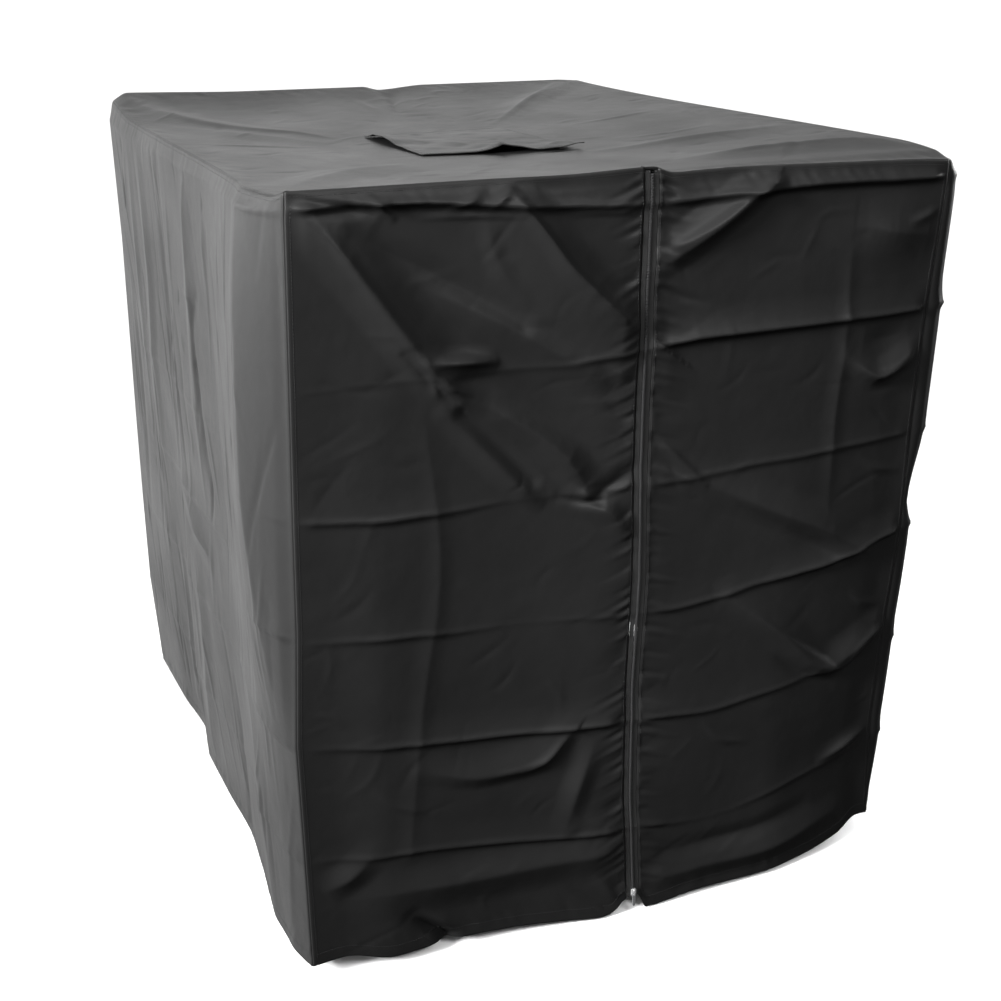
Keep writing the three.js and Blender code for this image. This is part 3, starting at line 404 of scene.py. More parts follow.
# Smaller folds of the cloth, in the same form as FOLDS: crumples where two folds meet, short tension
# lines beside the zip and the slack of the lower right corner.
SMALL_FOLDS = {
  "front": [
    ("sharp", 16, 12, [(-356, 942, -3), (-325, 908, -7), (-292, 873, -3)]),
    ("sharp", 12, 12, [(-318, 915, 1), (-296, 893, 6), (-268, 880, 1)]),
    ("sharp", 12, 9, [(-313, 929, 1), (-270, 926, 6), (-225, 918, 2)]),
    ("soft", 16, 30, [(-300, 906, 0), (-258, 900, -2), (-215, 895, 0)]),
    ("sharp", 12, 10, [(-340, 936, 1), (-322, 912, 5), (-312, 884, 2)]),
    # the wedge of slack cloth under the top seam at the corner, and the overhang beyond it
    ("sharp", 8, 22, [(-500, 1160, -1), (-470, 1148, -8), (-430, 1141, -10), (-396, 1136, -3)]),
    ("sharp", 10, 10, [(-404, 1152, 1), (-386, 1140, 7), (-366, 1122, 2)]),
    ("sharp", 16, 5, [(-335, 1118, 0), (-262, 1116, 3), (-190, 1112, 1)]),
    ("sharp", 12, 12, [(-300, 1122, 0), (-262, 1138, 4), (-240, 1152, 1)]),
    ("sharp", 12, 12, [(-240, 1124, 0), (-216, 1140, 5), (-196, 1156, 1)]),
    ("sharp", 16, 5, [(-125, 1110, 0), (-60, 1107, 3), (-14, 1104, 1)]),
    ("soft", 18, 18, [(-273, 849, -3), (-220, 795, -4), (-169, 741, -3)]),
    ("sharp", 14, 12, [(-128, 712, -2), (-95, 699, -7), (-66, 694, -3)]),
    ("sharp", 14, 12, [(-105, 725, 1), (-84, 706, 6), (-58, 702, 1)]),
    ("sharp", 18, 12, [(-470, 1128, 1), (-430, 1070, 4), (-392, 1012, 4), (-352, 958, 2)]),
    ("sharp", 12, 22, [(-213, 1160, 1), (-190, 1130, 4), (-151, 1082, 6), (-116, 1035, 7),
      (-66, 988, 6), (-14, 944, 3)]),
    ("soft", 26, 26, [(-418, 1102, -2), (-300, 1040, -5), (-187, 969, -3)]),
    ("soft", 20, 20, [(-240, 1120, 0), (-225, 1060, 3), (-170, 990, 0)]),
    ("sharp", 14, 14, [(-60, 900, 0), (-34, 880, 3), (-14, 872, 1)]),
    ("sharp", 14, 14, [(-62, 842, 0), (-36, 822, -3), (-14, 812, -1)]),
    ("sharp", 12, 20, [(-237, 284, 0), (-190, 282, 3), (-157, 292, 4), (-116, 327, 2)]),
    ("sharp", 14, 14, [(-362, 60, 1), (-333, 33, -5), (-305, 8, -3)]),
    ("sharp", 14, 14, [(-345, 66, 1), (-312, 40, 4), (-286, 14, 1)]),
    ("soft", 16, 16, [(-69, 73, 0), (-40, 36, 4), (-14, -8, 2)]),
    ("soft", 14, 14, [(-110, 60, 0), (-70, 24, -3), (-34, -12, -2)]),
    ("sharp", 12, 12, [(-420, 300, 0), (-380, 262, 2), (-330, 240, 0)]),
    ("sharp", 10, 22, [(27, 1046, 1), (80, 1068, 4), (122, 1089, 5), (191, 1134, 2)]),
    ("sharp", 12, 18, [(27, 778, 1), (64, 744, 5), (107, 700, 2)]),
    ("sharp", 12, 14, [(29, 734, 2), (58, 720, 4), (93, 702, 1)]),
    ("soft", 22, 22, [(120, 690, 0), (224, 622, -4), (332, 558, -4), (393, 534, 0)]),
    ("sharp", 12, 16, [(360, 852, 1), (385, 838, 4), (414, 827, 6), (450, 834, 4), (487, 851, 1)]),
    ("sharp", 12, 16, [(440, 1062, 0), (470, 1068, 4), (508, 1079, 2)]),
    ("sharp", 12, 20, [(159, 505, 0), (240, 440, 3), (300, 396, 4), (355, 355, 5), (381, 337, 4),
      (430, 364, 4), (481, 392, 2)]),
    ("soft", 18, 18, [(250, 388, 0), (310, 345, -4), (372, 305, -1)]),
    ("sharp", 14, 14, [(394, 470, 0), (430, 440, 3), (470, 430, 1)]),
    ("sharp", 12, 16, [(354, 165, 0), (410, 183, 4), (470, 195, 1)]),
    ("sharp", 14, 14, [(388, 700, 0), (432, 672, 3), (478, 664, 1)]),
    ("soft", 24, 24, [(60, 82, -2), (200, 80, -5), (330, 96, -2)]),
    ("sharp", 12, 12, [(120, 300, 0), (160, 262, 3), (214, 244, 0)]),
    ("sharp", 12, 12, [(30, 1000, 0), (62, 982, -3), (110, 968, 0)]),
  ],
  "left": [
    ("sharp", 12, 12, [(120, 519, 0), (60, 500, 3), (-48, 483, 1)]),
    ("sharp", 16, 16, [(155, 1143, 0), (168, 1047, 3), (173, 813, 3), (123, 751, 2), (169, 567, 0)]),
    ("sharp", 14, 14, [(-60, 1142, 0), (-37, 1051, 2), (-28, 900, 0)]),
    ("sharp", 14, 14, [(-252, 807, 0), (-277, 689, 3), (-259, 537, 0)]),
    ("sharp", 14, 14, [(-67, 698, 0), (-103, 606, -3), (-96, 540, 0)]),
    ("soft", 30, 30, [(420, 1120, 0), (430, 900, 3), (410, 640, 0)]),
    ("soft", 30, 30, [(500, 900, 0), (490, 600, -3), (510, 300, 0)]),
    ("soft", 26, 26, [(240, 430, 0), (225, 250, 4), (250, 60, 2)]),
    ("soft", 24, 24, [(-180, 330, 0), (-200, 180, -4), (-190, 30, -3)]),
    ("sharp", 12, 12, [(124, 149, 0), (150, 80, 3), (171, 18, 2)]),
  ],
  "right": [
    ("sharp", 16, 16, [(-400, 860, 0), (-350, 800, 4), (-260, 760, 0)]),
    ("sharp", 16, 16, [(380, 640, 0), (300, 560, 4), (240, 520, 0)]),
    ("soft", 30, 30, [(0, 1000, 0), (20, 820, 4), (-10, 620, 0)]),
  ],
  "back": [
    ("sharp", 16, 16, [(-380, 860, 0), (-300, 780, 5), (-220, 740, 0)]),
    ("sharp", 16, 16, [(360, 980, 0), (290, 900, 5), (250, 800, 0)]),
    ("soft", 30, 30, [(0, 600, 0), (30, 420, 5), (0, 260, 0)]),
  ],
}

SMALL_TOP_FOLDS = [
  ("sharp", 16, 16, [(-435, 566, 0), (-425, 424, 2), (-354, 248, 3), (-264, 141, 2), (-211, 85, 0)]),
  ("sharp", 14, 14, [(463, 605, 0), (290, 395, 3), (156, 224, 2), (70, 118, 0)]),
  ("sharp", 14, 22, [(503, -495, 1), (392, -472, 4), (290, -465, 4), (168, -461, 0)]),
  ("soft", 26, 26, [(505, -220, 0), (297, -248, 3), (99, -275, 1)]),
  ("soft", 26, 26, [(-449, -409, 0), (-370, -360, 3), (-237, -281, 1)]),
  ("sharp", 14, 14, [(400, -120, 0), (300, -150, 2), (200, -160, 0)]),
  ("sharp", 14, 14, [(420, 120, 0), (330, 90, 2), (210, 60, 0)]),
  ("sharp", 12, 12, [(-480, 60, 0), (-380, 20, 2), (-260, -20, 0)]),
  ("sharp", 12, 12, [(60, 570, 0), (30, 480, -3), (5, 380, -1)]),
  ("sharp", 12, 12, [(-40, 540, 0), (-30, 440, 2), (-60, 330, 0)]),
]


def ease(t):
    return t * t * (3 - 2 * t)


def mix(a, b, t):
    return a + (b - a) * t


def clamp(values):
    return np.clip(values, 0, 1)


def noise(x, y, seed, cells=97):
    """Smooth noise from -1 to 1 over cells of size 1."""
    lattice = np.random.default_rng(seed).uniform(-1, 1, (cells, cells))
    i, j = np.floor(x).astype(int), np.floor(y).astype(int)
    fx, fy = ease(x - i), ease(y - j)

    def at(p, q):
        return lattice[(i + p) % cells, (j + q) % cells]

    return mix(mix(at(0, 0), at(1, 0), fx), mix(at(0, 1), at(1, 1), fx), fy)


def gentle(at, knots, values):
    """Values between knots on a curve that bends gently and never overshoots."""
    knots, values = np.asarray(knots, float), np.asarray(values, float)
    steps = np.diff(knots)
    slopes = np.diff(values) / steps
    before, after = slopes[:-1], slopes[1:]
    same_way = before * after > 0
    inner = np.where(same_way, 2 * before * after / np.where(same_way, before + after, 1), 0)
    tangents = np.concatenate([slopes[:1], inner, slopes[-1:]])
    k = np.clip(np.searchsorted(knots, at, side="right") - 1, 0, len(steps) - 1)
    t = clamp((at - knots[k]) / steps[k])
    lean = steps[k] * (t * (1 - t) ** 2 * tangents[k] - t * t * (1 - t) * tangents[k + 1])
    return mix(values[k], values[k + 1], ease(t)) + lean


class Line:
    """A seam or hem: points at fractions of the way along it."""

    def __init__(self, at, points, curve):
        self.at = np.array(at, float)
        self.points = np.array(points, float)
        self.curve = curve

    def on(self, t):
        return np.stack([self.curve(t, self.at, self.points[:, k]) for k in range(3)], axis=-1)


def corner_line(table):
    heights = mix(table["low"], table["high"], np.array(LEVELS))
    return Line(LEVELS, np.stack([table["x"], table["y"], heights], axis=1), np.interp)


def edge_line(rows, start, end, axis):
    at, points = [0], [start]
    for fraction, across, z in rows:
        point = mix(start, end, fraction)
        point[1 - axis] = across
        point[2] = z
        at.append(fraction)
        points.append(point)
    return Line([*at, 1], [*points, end], gentle)


def level_line(line):
    """The same line with its height run straight from end to end."""
    points = line.points.copy()
    points[:, 2] = mix(points[0, 2], points[-1, 2], line.at)
    return Line(line.at, points, gentle)


def patch(lines, u, v):
    """Points of the smooth patch between four lines."""
    low, high, start, end = lines
    u1, v1 = u[..., None], v[..., None]
    points = (1 - v1) * low.on(u) + v1 * high.on(u) + (1 - u1) * start.on(v) + u1 * end.on(v)
    points -= (1 - u1) * (1 - v1) * low.points[0] + u1 * (1 - v1) * low.points[-1]
    return points - (1 - u1) * v1 * high.points[0] - u1 * v1 * high.points[-1]


# How a fold falls from its crest (0) to its edge (1).
PROFILES = {
    "flat": lambda t: 1 - t,
    "sharp": lambda t: (1 - t) ** 2,
    "soft": lambda t: 0.4 * (1 - ease(t)) + 0.6 * (1 - t) ** 2,
}
CREST = 1.6      # radius of a crest in mm
BEND_STEPS = 5   # straight steps that a fold's line takes between two of its points


def bent(points):
    """A fold's line with its corners rounded."""
    table = np.array(points, float)
    if len(table) < 3:
        return table
    knots = np.concatenate([[0], np.cumsum(np.hypot(*np.diff(table[:, :2], axis=0).T))])
    at = np.linspace(0, knots[-1], BEND_STEPS * (len(table) - 1) + 1)
    return np.stack([gentle(at, knots, table[:, k]) for k in range(3)], axis=1)


def fold_lift(fold, a, b):
    """How far one fold moves the cloth at (a, b)."""
    shape, left, right, points = fold
    line = bent(points)
    reach = max(left, right)
    near = ((a > line[:, 0].min() - reach) & (a < line[:, 0].max() + reach)
            & (b > line[:, 1].min() - reach) & (b < line[:, 1].max() + reach))
    lifts = np.zeros(a.shape)
    if not near.any():
        return lifts
    p, q = a[near], b[near]
    nearest, lift, side = np.full(p.shape, np.inf), np.zeros(p.shape), np.ones(p.shape)
    for (a0, b0, lift0), (a1, b1, lift1) in zip(line[:-1], line[1:]):
        da, db = a1 - a0, b1 - b0
        t = clamp(((p - a0) * da + (q - b0) * db) / (da * da + db * db))
        distance = np.hypot(p - a0 - da * t, q - b0 - db * t)
        closer = distance < nearest
        nearest = np.where(closer, distance, nearest)
        lift = np.where(closer, mix(lift0, lift1, t), lift)
        side = np.where(closer, da * (q - b0) - db * (p - a0), side)
    width = np.where(side > 0, left, right)
    share = (np.hypot(nearest, CREST) - CREST) / width
    lifts[near] = np.where(share < 1, lift * PROFILES[shape](clamp(share)), 0)
    return lifts


def with_lifts(points, change):
    """A fold's points with their lifts changed."""
    return [(a, b, change(lift)) for a, b, lift in points]


def crumples(seed, count, low, high, slope, longest=STREWN["longest"], height=1.0):
    """Short faint creases strewn over a field, most of them near one slope."""
    random = np.random.default_rng(seed)
    folds = []
    for _ in range(count):
        middle = random.uniform(low, high)
        angle = slope + random.normal(0, STREWN["stray"] * STREWN["longest"] / longest)
        half = random.uniform(STREWN["shortest"], longest) * np.array([math.cos(angle), math.sin(angle)])
        bend = random.normal(0, STREWN["bend"], 2)
        lift = height * random.uniform(*STREWN["lift"]) * random.choice([-1, 1])
        width = random.uniform(*STREWN["width"])
        points = [(*(middle - half), 0), (*(middle + bend), lift), (*(middle + half), 0)]
        folds.append(("sharp", width, width * random.uniform(*STREWN["other_side"]), points))
    return folds


def zip_at(v):
    return mix(ZIP_HEM, ZIP_TOP, v)


def band(distance, middle, reach):
    """A share that is 1 at one distance from an edge and dies away on both sides of it."""
    return np.exp(-((distance - middle) / reach) ** 2)


CORNER_LINES = {name: corner_line(table) for name, table in CORNERS.items()}


class Wall:
    """One side of the cover: its patch, its folds, and the way it faces.

    The folds' lifts are multiplied by relief, the bends along the packing folds by pinched, and the
    lifts of the strewn creases by strewn. Slope and longest say how those creases lie.
    """

    def __init__(self, side, corners, axis, outward, seed, slope=0.25, longest=STREWN["longest"],
                 pinched=1.0, relief=1.0, strewn=1.0):
        self.start, self.end = (CORNER_LINES[corner] for corner in corners)
        self.high = edge_line(TOP_EDGES[side], self.start.points[-1], self.end.points[-1], axis)
        self.low = edge_line(HEMS[side], self.start.points[0], self.end.points[0], axis)
        self.side, self.axis, self.outward, self.seed = side, axis, np.array(outward, float), seed

        def pinch(lift):
            return PINCH_LIFT * min(1, lift * PINCH_GROWTH + PINCH_START) * pinched

        def relieve(lift):
            return relief * lift

        self.folds = [
            *(("sharp", CREASE_ABOVE, CREASE_BELOW, points) for points in CREASES[side]),
            *(("sharp", *PINCH, with_lifts(points, pinch)) for points in CREASES[side]),
            *((*form, with_lifts(points, relieve)) for *form, points in FOLDS[side]),
            *SMALL_FOLDS[side],
            *crumples(seed, *STREWN_ON_WALL, slope, longest, strewn),
        ]

    def points(self, u, v):
        points = patch((self.low, self.high, self.start, self.end), u, v)
        a, z = points[..., self.axis], points[..., 2]
        waver = WAVER * noise(a / WAVER_CELL[0], z / WAVER_CELL[1], self.seed + 1)
        lift = sum(fold_lift(fold, a, z + waver) for fold in self.folds)
        start, end = self.start.on(v)[..., self.axis], self.end.on(v)[..., self.axis]
        from_start = (a - start) / (FADE_WRAP if self.side == "right" else FADE_SIDE)
        from_end = (end - a) / FADE_SIDE
        below_top = self.high.on(u)[..., 2] - z
        calm = 1.0
        if self.side == "front":
            beside = np.abs(u - zip_at(v)) * FRONT_WIDTH
            calm = mix(ZIP_CALM, 1, ease(clamp(beside / FADE_ZIP)))
        fade = ease(clamp(np.minimum(from_start, from_end))) * clamp(below_top / FADE_TOP) * calm
        lift = lift * fade + self.puckers(u, v, a, z, below_top)
        return points + self.outward * lift[..., None]

    def puckers(self, u, v, a, z, below_top):
        """Small gathers where thread pulls the cloth: beside the zip, at the hem and the top seam."""
        sewn = GATHER
        above_hem = z - self.low.on(u)[..., 2]
        edge_share = clamp(np.minimum(above_hem, below_top) / sewn["edge"])
        sewn_share = (band(above_hem, HEM_DEPTH, sewn["hem"])
                      + sewn["seam_share"] * band(below_top, sewn["seam_depth"], sewn["seam"]))
        ripple = noise(a / sewn["length"] + sewn["slant"] * z, z / sewn["rise"], self.seed + 2)
        pull = sewn["height"] * sewn_share * ripple
        if self.side == "front":
            sewn = ZIP_GATHER
            beside = (u - zip_at(v)) * FRONT_WIDTH
            half, away = np.sign(beside), np.abs(beside)
            ragged = noise(z / sewn["ragged_length"], half, self.seed + 3) + sewn["fullness"]
            reach = np.maximum(sewn["reach"] + sewn["ragged"] * ragged, sewn["least"])
            sewn_share = clamp((away - sewn["start"]) / sewn["swell"]) * band(away, sewn["start"], reach)
            ripple = noise((z + sewn["slant"] * away) / sewn["length"], half, self.seed + 4)
            pull = pull + sewn["height"] * sewn_share * ripple
        return pull * edge_share


X, Y = 0, 1
WALLS = {
    "front": Wall("front", ("front_left", "front_right"), X, (0, -1, 0), 11, relief=1.5, strewn=0.55),
    "back": Wall("back", ("back_left", "back_right"), X, (0, 1, 0), 23),
    "left": Wall("left", ("front_left", "back_left"), Y, (-1, 0, 0), 37, slope=1.52, longest=190,
                 pinched=0.25),
    "right": Wall("right", ("front_right", "back_right"), Y, (1, 0, 0), 51),
}
TOP_LINES = [WALLS[side].high for side in ("front", "back", "left", "right")]
LEVEL_TOP_LINES = [level_line(TOP_LINES[0]), level_line(TOP_LINES[1]), *TOP_LINES[2:]]
TOP_CRUMPLES = crumples(71, *STREWN_ON_TOP, 0.9)


def top_points(u, v):
    near_seam = (1 - clamp(np.minimum(v, 1 - v) / KINK_REACH)) ** 2
    points = mix(patch(LEVEL_TOP_LINES, u, v), patch(TOP_LINES, u, v), near_seam[..., None])
    x, y = points[..., 0], points[..., 1]
    across, along = np.minimum(u, 1 - u), np.minimum(v, 1 - v)
    fade = ease(clamp(np.minimum(across, along) * FADE_PARTS))
    lift = sum(fold_lift(fold, x, y) for fold in [*TOP_FOLDS, *SMALL_TOP_FOLDS, *TOP_CRUMPLES])
    edge = np.minimum(across * TOP_WIDTH, along * TOP_LENGTH)
    sewn = TOP_GATHER
    sewn_share = band(edge, sewn["seam_depth"], sewn["seam"]) * clamp(edge / sewn["edge"])
    ripple = noise((x + sewn["slant"] * y) / sewn["length"], (y - x) / sewn["width"], sewn["seed"])
    bowl = (4 * u * (1 - u) * 4 * v * (1 - v)) ** SAG_ROUND
    points[..., 2] += lift * fade + sewn["height"] * sewn_share * ripple - TOP_SAG * bowl
    return points


def top_fractions(x, y):
    """Where a point of the top lies across and along it."""
    left, right = TOP_LINES[2].points[0, 0], TOP_LINES[3].points[0, 0]
    front, back = TOP_LINES[0].points[0, 1], TOP_LINES[1].points[0, 1]
    return (np.asarray(x) - left) / (right - left), (np.asarray(y) - front) / (back - front)


def flap_points(across, depth):
    x = mix(*FLAP["x"], across)
    y = mix(FLAP["y"][0] + FLAP["askew"] * across, FLAP["y"][1], depth)
    points = top_points(*top_fractions(x, y))
    lift = sum(height * (1 - ease(clamp(np.hypot(across - a, (depth - back) * FLAP["squash"]) / reach)))
               for a, back, height, reach in FLAP_LIFTS)
    crumple = sum(height * noise(x / width, y / length, seed)
                  for height, width, length, seed in FLAP_CRUMPLES)
    loose = clamp((1 - depth) * FLAP["hinge_parts"])
    lift = lift + fold_lift(FLAP_RIDGE, x, y) + FLAP["thickness"] + crumple
    points[..., 2] += FLAP["rise"] + lift * loose
    return points


def to_metres(points):
    return (np.asarray(points, float) - (0, 0, TANK_TOP)) / 1000


def linear(code):
    """An sRGB hex colour as linear red, green and blue."""
    parts = [int(code[i:i + 2], 16) / 255 for i in (0, 2, 4)]
    return [c / 12.92 if c <= 0.04045 else ((c + 0.055) / 1.055) ** 2.4 for c in parts]


def add_object(name, data):
    thing = bpy.data.objects.new(name, data)
    bpy.context.scene.collection.objects.link(thing)
    return thing


def mesh_object(name, points, faces, material, smooth=True):
    """An object of one material from points in metres."""
    mesh = bpy.data.meshes.new(name)
    mesh.from_pydata(points, [], faces)
    mesh.polygons.foreach_set("use_smooth", np.full(len(mesh.polygons), smooth))
    mesh.materials.append(material)
    return add_object(name, mesh)


def grid_faces(columns, rows, flip, kept):
    number = np.arange(columns * rows).reshape(columns, rows)
    quads = np.stack([number[:-1, :-1], number[1:, :-1], number[1:, 1:], number[:-1, 1:]], axis=-1)
    quads = (quads if kept is None else quads[kept]).reshape(-1, 4)
    return quads[:, ::-1] if flip else quads


def grid_object(name, points, material, flip=False, kept=None):
    """A smooth sheet from a grid of points, with its own lengths along and up as its map. It drops the
    points that no face uses."""
    along = np.cumsum(np.linalg.norm(np.diff(points, axis=0, prepend=points[:1]), axis=2), axis=0)
    up = np.cumsum(np.linalg.norm(np.diff(points, axis=1, prepend=points[:, :1]), axis=2), axis=1)
    uvs = np.stack([along[:, :1] * np.ones_like(up), np.ones_like(along) * up.mean(axis=0)], axis=-1) / 1000
    used, faces = np.unique(grid_faces(*points.shape[:2], flip, kept), return_inverse=True)
    faces = faces.reshape(-1, 4)
    thing = mesh_object(name, to_metres(points.reshape(-1, 3)[used]).tolist(), faces.tolist(), material)
    layer = thing.data.uv_layers.new(name="cloth")
    layer.data.foreach_set("uv", uvs.reshape(-1, 2)[used][faces.reshape(-1)].reshape(-1))
    return thing


def turned_rows(points, inward_of):
    """Adds the seam allowance beyond the last row: the row itself is drawn in, then runs inwards."""
    last = points[:, -1]
    inward = inward_of(last)
    drawn = last + inward * SEAM_TURN
    inside = last + inward * (SEAM_TURN + ALLOWANCE)
    return np.concatenate([points[:, :-1], drawn[:, None], inside[:, None]], axis=1)


def toward_middle(*weights):
    """A direction from a point on a seam to the inside of the cover, along the weighted axes."""
    def inward(points):
        centre = np.array([0, 0, TANK_TOP / 2])
        ways = np.sign(centre - points) * np.array(weights, float)
        return ways / np.linalg.norm(ways, axis=-1, keepdims=True)
    return inward


INTO_FRONT, INTO_SIDE = toward_middle(0, 1, 0), toward_middle(1, 0, 0)
AT_CORNER = toward_middle(1, 1, 0)
AT_TOP_FRONT, AT_TOP_SIDE = toward_middle(0, 1, 1), toward_middle(1, 0, 1)


def turn_both(points, inward):
    """Turns in the two edges that end a grid's rows."""
    for _ in range(2):
        points = turned_rows(points, inward)[:, ::-1]
    return points


def turn_edges(points, start, end, low, high):
    """Turns in a wall's two upright edges and its top, and turns up its hem."""
    columns = points.transpose(1, 0, 2)
    columns = turned_rows(columns[:, ::-1], start)[:, ::-1]
    columns = turned_rows(columns, end)
    points = turned_rows(columns.transpose(1, 0, 2), high)
    hem = points[:, 0]
    inward = low(hem)
    inside = hem + inward * HEM_INSIDE
    edge = hem + inward * HEM_ROUND - (0, 0, HEM_ROUND)
    rows = [inside + (0, 0, HEM_TURN), inside + (0, 0, HEM_FOOT), edge]
    return np.concatenate([np.stack(rows, axis=1), points], axis=1)


def wall_grid(wall, start_u, end_u, cell):
    """A grid over a wall between two lines given as fractions at each height."""
    width = np.linalg.norm(wall.high.points[-1] - wall.high.points[0])
    rows = int(WALL_CLOTH_HEIGHT / cell) + 1
    v = np.linspace(0, 1, rows)[None, :]
    share = abs(end_u(1) - start_u(1))
    columns = int(width * share / cell) + 1
    t = np.linspace(0, 1, columns)[:, None]
    u = mix(start_u(v), end_u(v), t)
    return wall.points(u, v * np.ones_like(u))


def straight(fraction):
    return lambda v: fraction + 0 * np.asarray(v, float)


def beside_zip(offset):
    """The line at an offset in mm beside the zip's, as fractions at each height."""
    return lambda v: zip_at(v) + offset / FRONT_WIDTH


def front_at(offset, z, sink):
    """Points of the front at offsets beside the zip line and at heights, moved back by sink."""
    wall, line = WALLS["front"], beside_zip(offset)
    v = np.asarray((z - FRONT_HEM) / FRONT_RISE)
    for _ in range(3):
        low, high = wall.low.on(line(v))[..., 2], wall.high.on(line(v))[..., 2]
        v = (z - low) / (high - low)
    points = wall.points(line(v), v)
    points[..., Y] += sink
    return points


# A rod's points are a tip, two rings of four and the other tip. The rings stand at these shares of half
# its length.
ROD_RINGS, ROD_POINTS = (-0.55, 0.55), 10
FAR_TIP = ROD_POINTS - 1


def rod_object(name, centres, along, across, out, sizes, material):
    """Small pointed rods with the given length, width and thickness, for stitches and turns of the coil."""
    half, wide, tall = (size / 2 for size in sizes)
    rings = []
    for shift in ROD_RINGS:
        base = centres + along * half * shift
        rings += [base + across * wide, base + out * tall, base - across * wide, base - out * tall]
    points = np.stack([centres - along * half, *rings, centres + along * half], axis=1)
    faces = []
    for start in range(0, len(centres) * ROD_POINTS, ROD_POINTS):
        for a, b in ((1, 2), (2, 3), (3, 4), (4, 1)):
            shapes = ((0, a, b), (a, a + 4, b + 4, b), (a + 4, FAR_TIP, b + 4))
            faces += [[start + corner for corner in shape] for shape in shapes]
    return mesh_object(name, to_metres(points.reshape(-1, 3)).tolist(), faces, material)


def fill(tree, node, inputs):
    """Fills or links a node's inputs by name or number."""
    for key, value in inputs.items():
        if isinstance(value, bpy.types.NodeSocket):
            tree.links.new(value, node.inputs[key])
        else:
            node.inputs[key].default_value = value


def add_node(tree, kind, settings=None, inputs=None):
    """Adds a node, sets its own settings, and fills or links its inputs."""
    node = tree.nodes.new(kind)
    for key, value in (settings or {}).items():
        setattr(node, key, value)
    fill(tree, node, inputs or {})
    return node


def new_material(name):
    material = bpy.data.materials.new(name)
    material.use_nodes = True
    tree = material.node_tree
    return material, tree, tree.nodes["Principled BSDF"]


def weave_height(tree, spacing):
    """Plain weave: warp and weft threads that pass over each other by turns, a spacing in metres apart."""
    uv = add_node(tree, "ShaderNodeUVMap", {"uv_map": "cloth"}).outputs["UV"]
    axes = add_node(tree, "ShaderNodeSeparateXYZ", {}, {0: uv})
    waves = []
    for axis in (0, 1):
        angle = add_node(tree, "ShaderNodeMath", {"operation": "MULTIPLY"},
                         {0: axes.outputs[axis], 1: math.pi / spacing})
        waves.append(add_node(tree, "ShaderNodeMath", {"operation": "SINE"}, {0: angle.outputs[0]}))
    both = add_node(tree, "ShaderNodeMath", {"operation": "MULTIPLY"},
                    {0: waves[0].outputs[0], 1: waves[1].outputs[0]})
    return both.outputs[0]


def coated_oxford(cloth):
    """Oxford polyester, woven and then coated. The coating fills the weave, so the eye gets a smooth
    satin black with broad soft highlights, faint crackle where it was packed, and hardly any grain."""
    material, tree, shader = new_material("Coated Oxford polyester")
    where = add_node(tree, "ShaderNodeTexCoord").outputs["Object"]
    # in mm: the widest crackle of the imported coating, its soft hollows and its duller patches
    crackle_size, hollow_size, patch_size = 90, 35, 220
    crackle = add_node(tree, "ShaderNodeTexNoise", {"noise_type": "RIDGED_MULTIFRACTAL"},
                       {"Vector": where, "Scale": 1000 / crackle_size, "Detail": 3.0, "Roughness": 0.55})
    hollows = add_node(tree, "ShaderNodeTexNoise", {},
                       {"Vector": where, "Scale": 1000 / hollow_size, "Detail": 2.0, "Roughness": 0.5})
    mottle = add_node(tree, "ShaderNodeTexNoise", {},
                      {"Vector": where, "Scale": 1000 / patch_size, "Detail": 4.0, "Roughness": 0.6})
    bumps = ((hollows.outputs["Fac"], 0.55, 0.0016), (crackle.outputs["Fac"], 0.35, 0.0012),
             (weave_height(tree, cloth.thread), 0.25, 0.0001))
    normal = {}
    for height, strength, distance in bumps:
        bump = add_node(tree, "ShaderNodeBump", {},
                        {"Strength": strength, "Distance": distance, "Height": height, **normal})
        normal = {"Normal": bump.outputs["Normal"]}
    tone = add_node(tree, "ShaderNodeMix", {"data_type": "RGBA"},
                    {0: mottle.outputs["Fac"], 6: (*cloth.colour, 1), 7: (*cloth.worn_colour, 1)})
    gloss = add_node(tree, "ShaderNodeMapRange", {},
                     {"Value": mottle.outputs["Fac"], "From Min": 0.3, "From Max": 0.7,
                      "To Min": cloth.roughness - 0.05, "To Max": cloth.roughness + 0.06})
    fill(tree, shader, {"Base Color": tone.outputs[2], "Roughness": gloss.outputs["Result"], "IOR": 1.24,
                        **normal})
    return material


def polyester_thread(colour):
    """Bonded polyester sewing thread: black with a slight shine on its twist."""
    material, tree, shader = new_material("Polyester sewing thread")
    where = add_node(tree, "ShaderNodeTexCoord").outputs["Object"]
    twist_size = 0.9   # mm, drawn coarser than the real twist, so that it shows
    twist = add_node(tree, "ShaderNodeTexNoise", {},
                     {"Vector": where, "Scale": 1000 / twist_size, "Detail": 1.0})
    bump = add_node(tree, "ShaderNodeBump", {},
                    {"Strength": 0.5, "Distance": 0.0002, "Height": twist.outputs["Fac"]})
    fill(tree, shader, {"Base Color": (*colour, 1), "Roughness": 0.5, "Normal": bump.outputs["Normal"]})
    return material


def zip_tape_weave(colour):
    """Woven polyester zip tape, uncoated, so it is flatter and duller than the cloth beside it."""
    material, tree, shader = new_material("Woven zip tape")
    bump = add_node(tree, "ShaderNodeBump", {},
                    {"Strength": 0.6, "Distance": 0.0003, "Height": weave_height(tree, RIB_WIDTH / 1000)})
    fill(tree, shader, {"Base Color": (*colour, 1), "Roughness": 0.85, "Normal": bump.outputs["Normal"]})
    return material


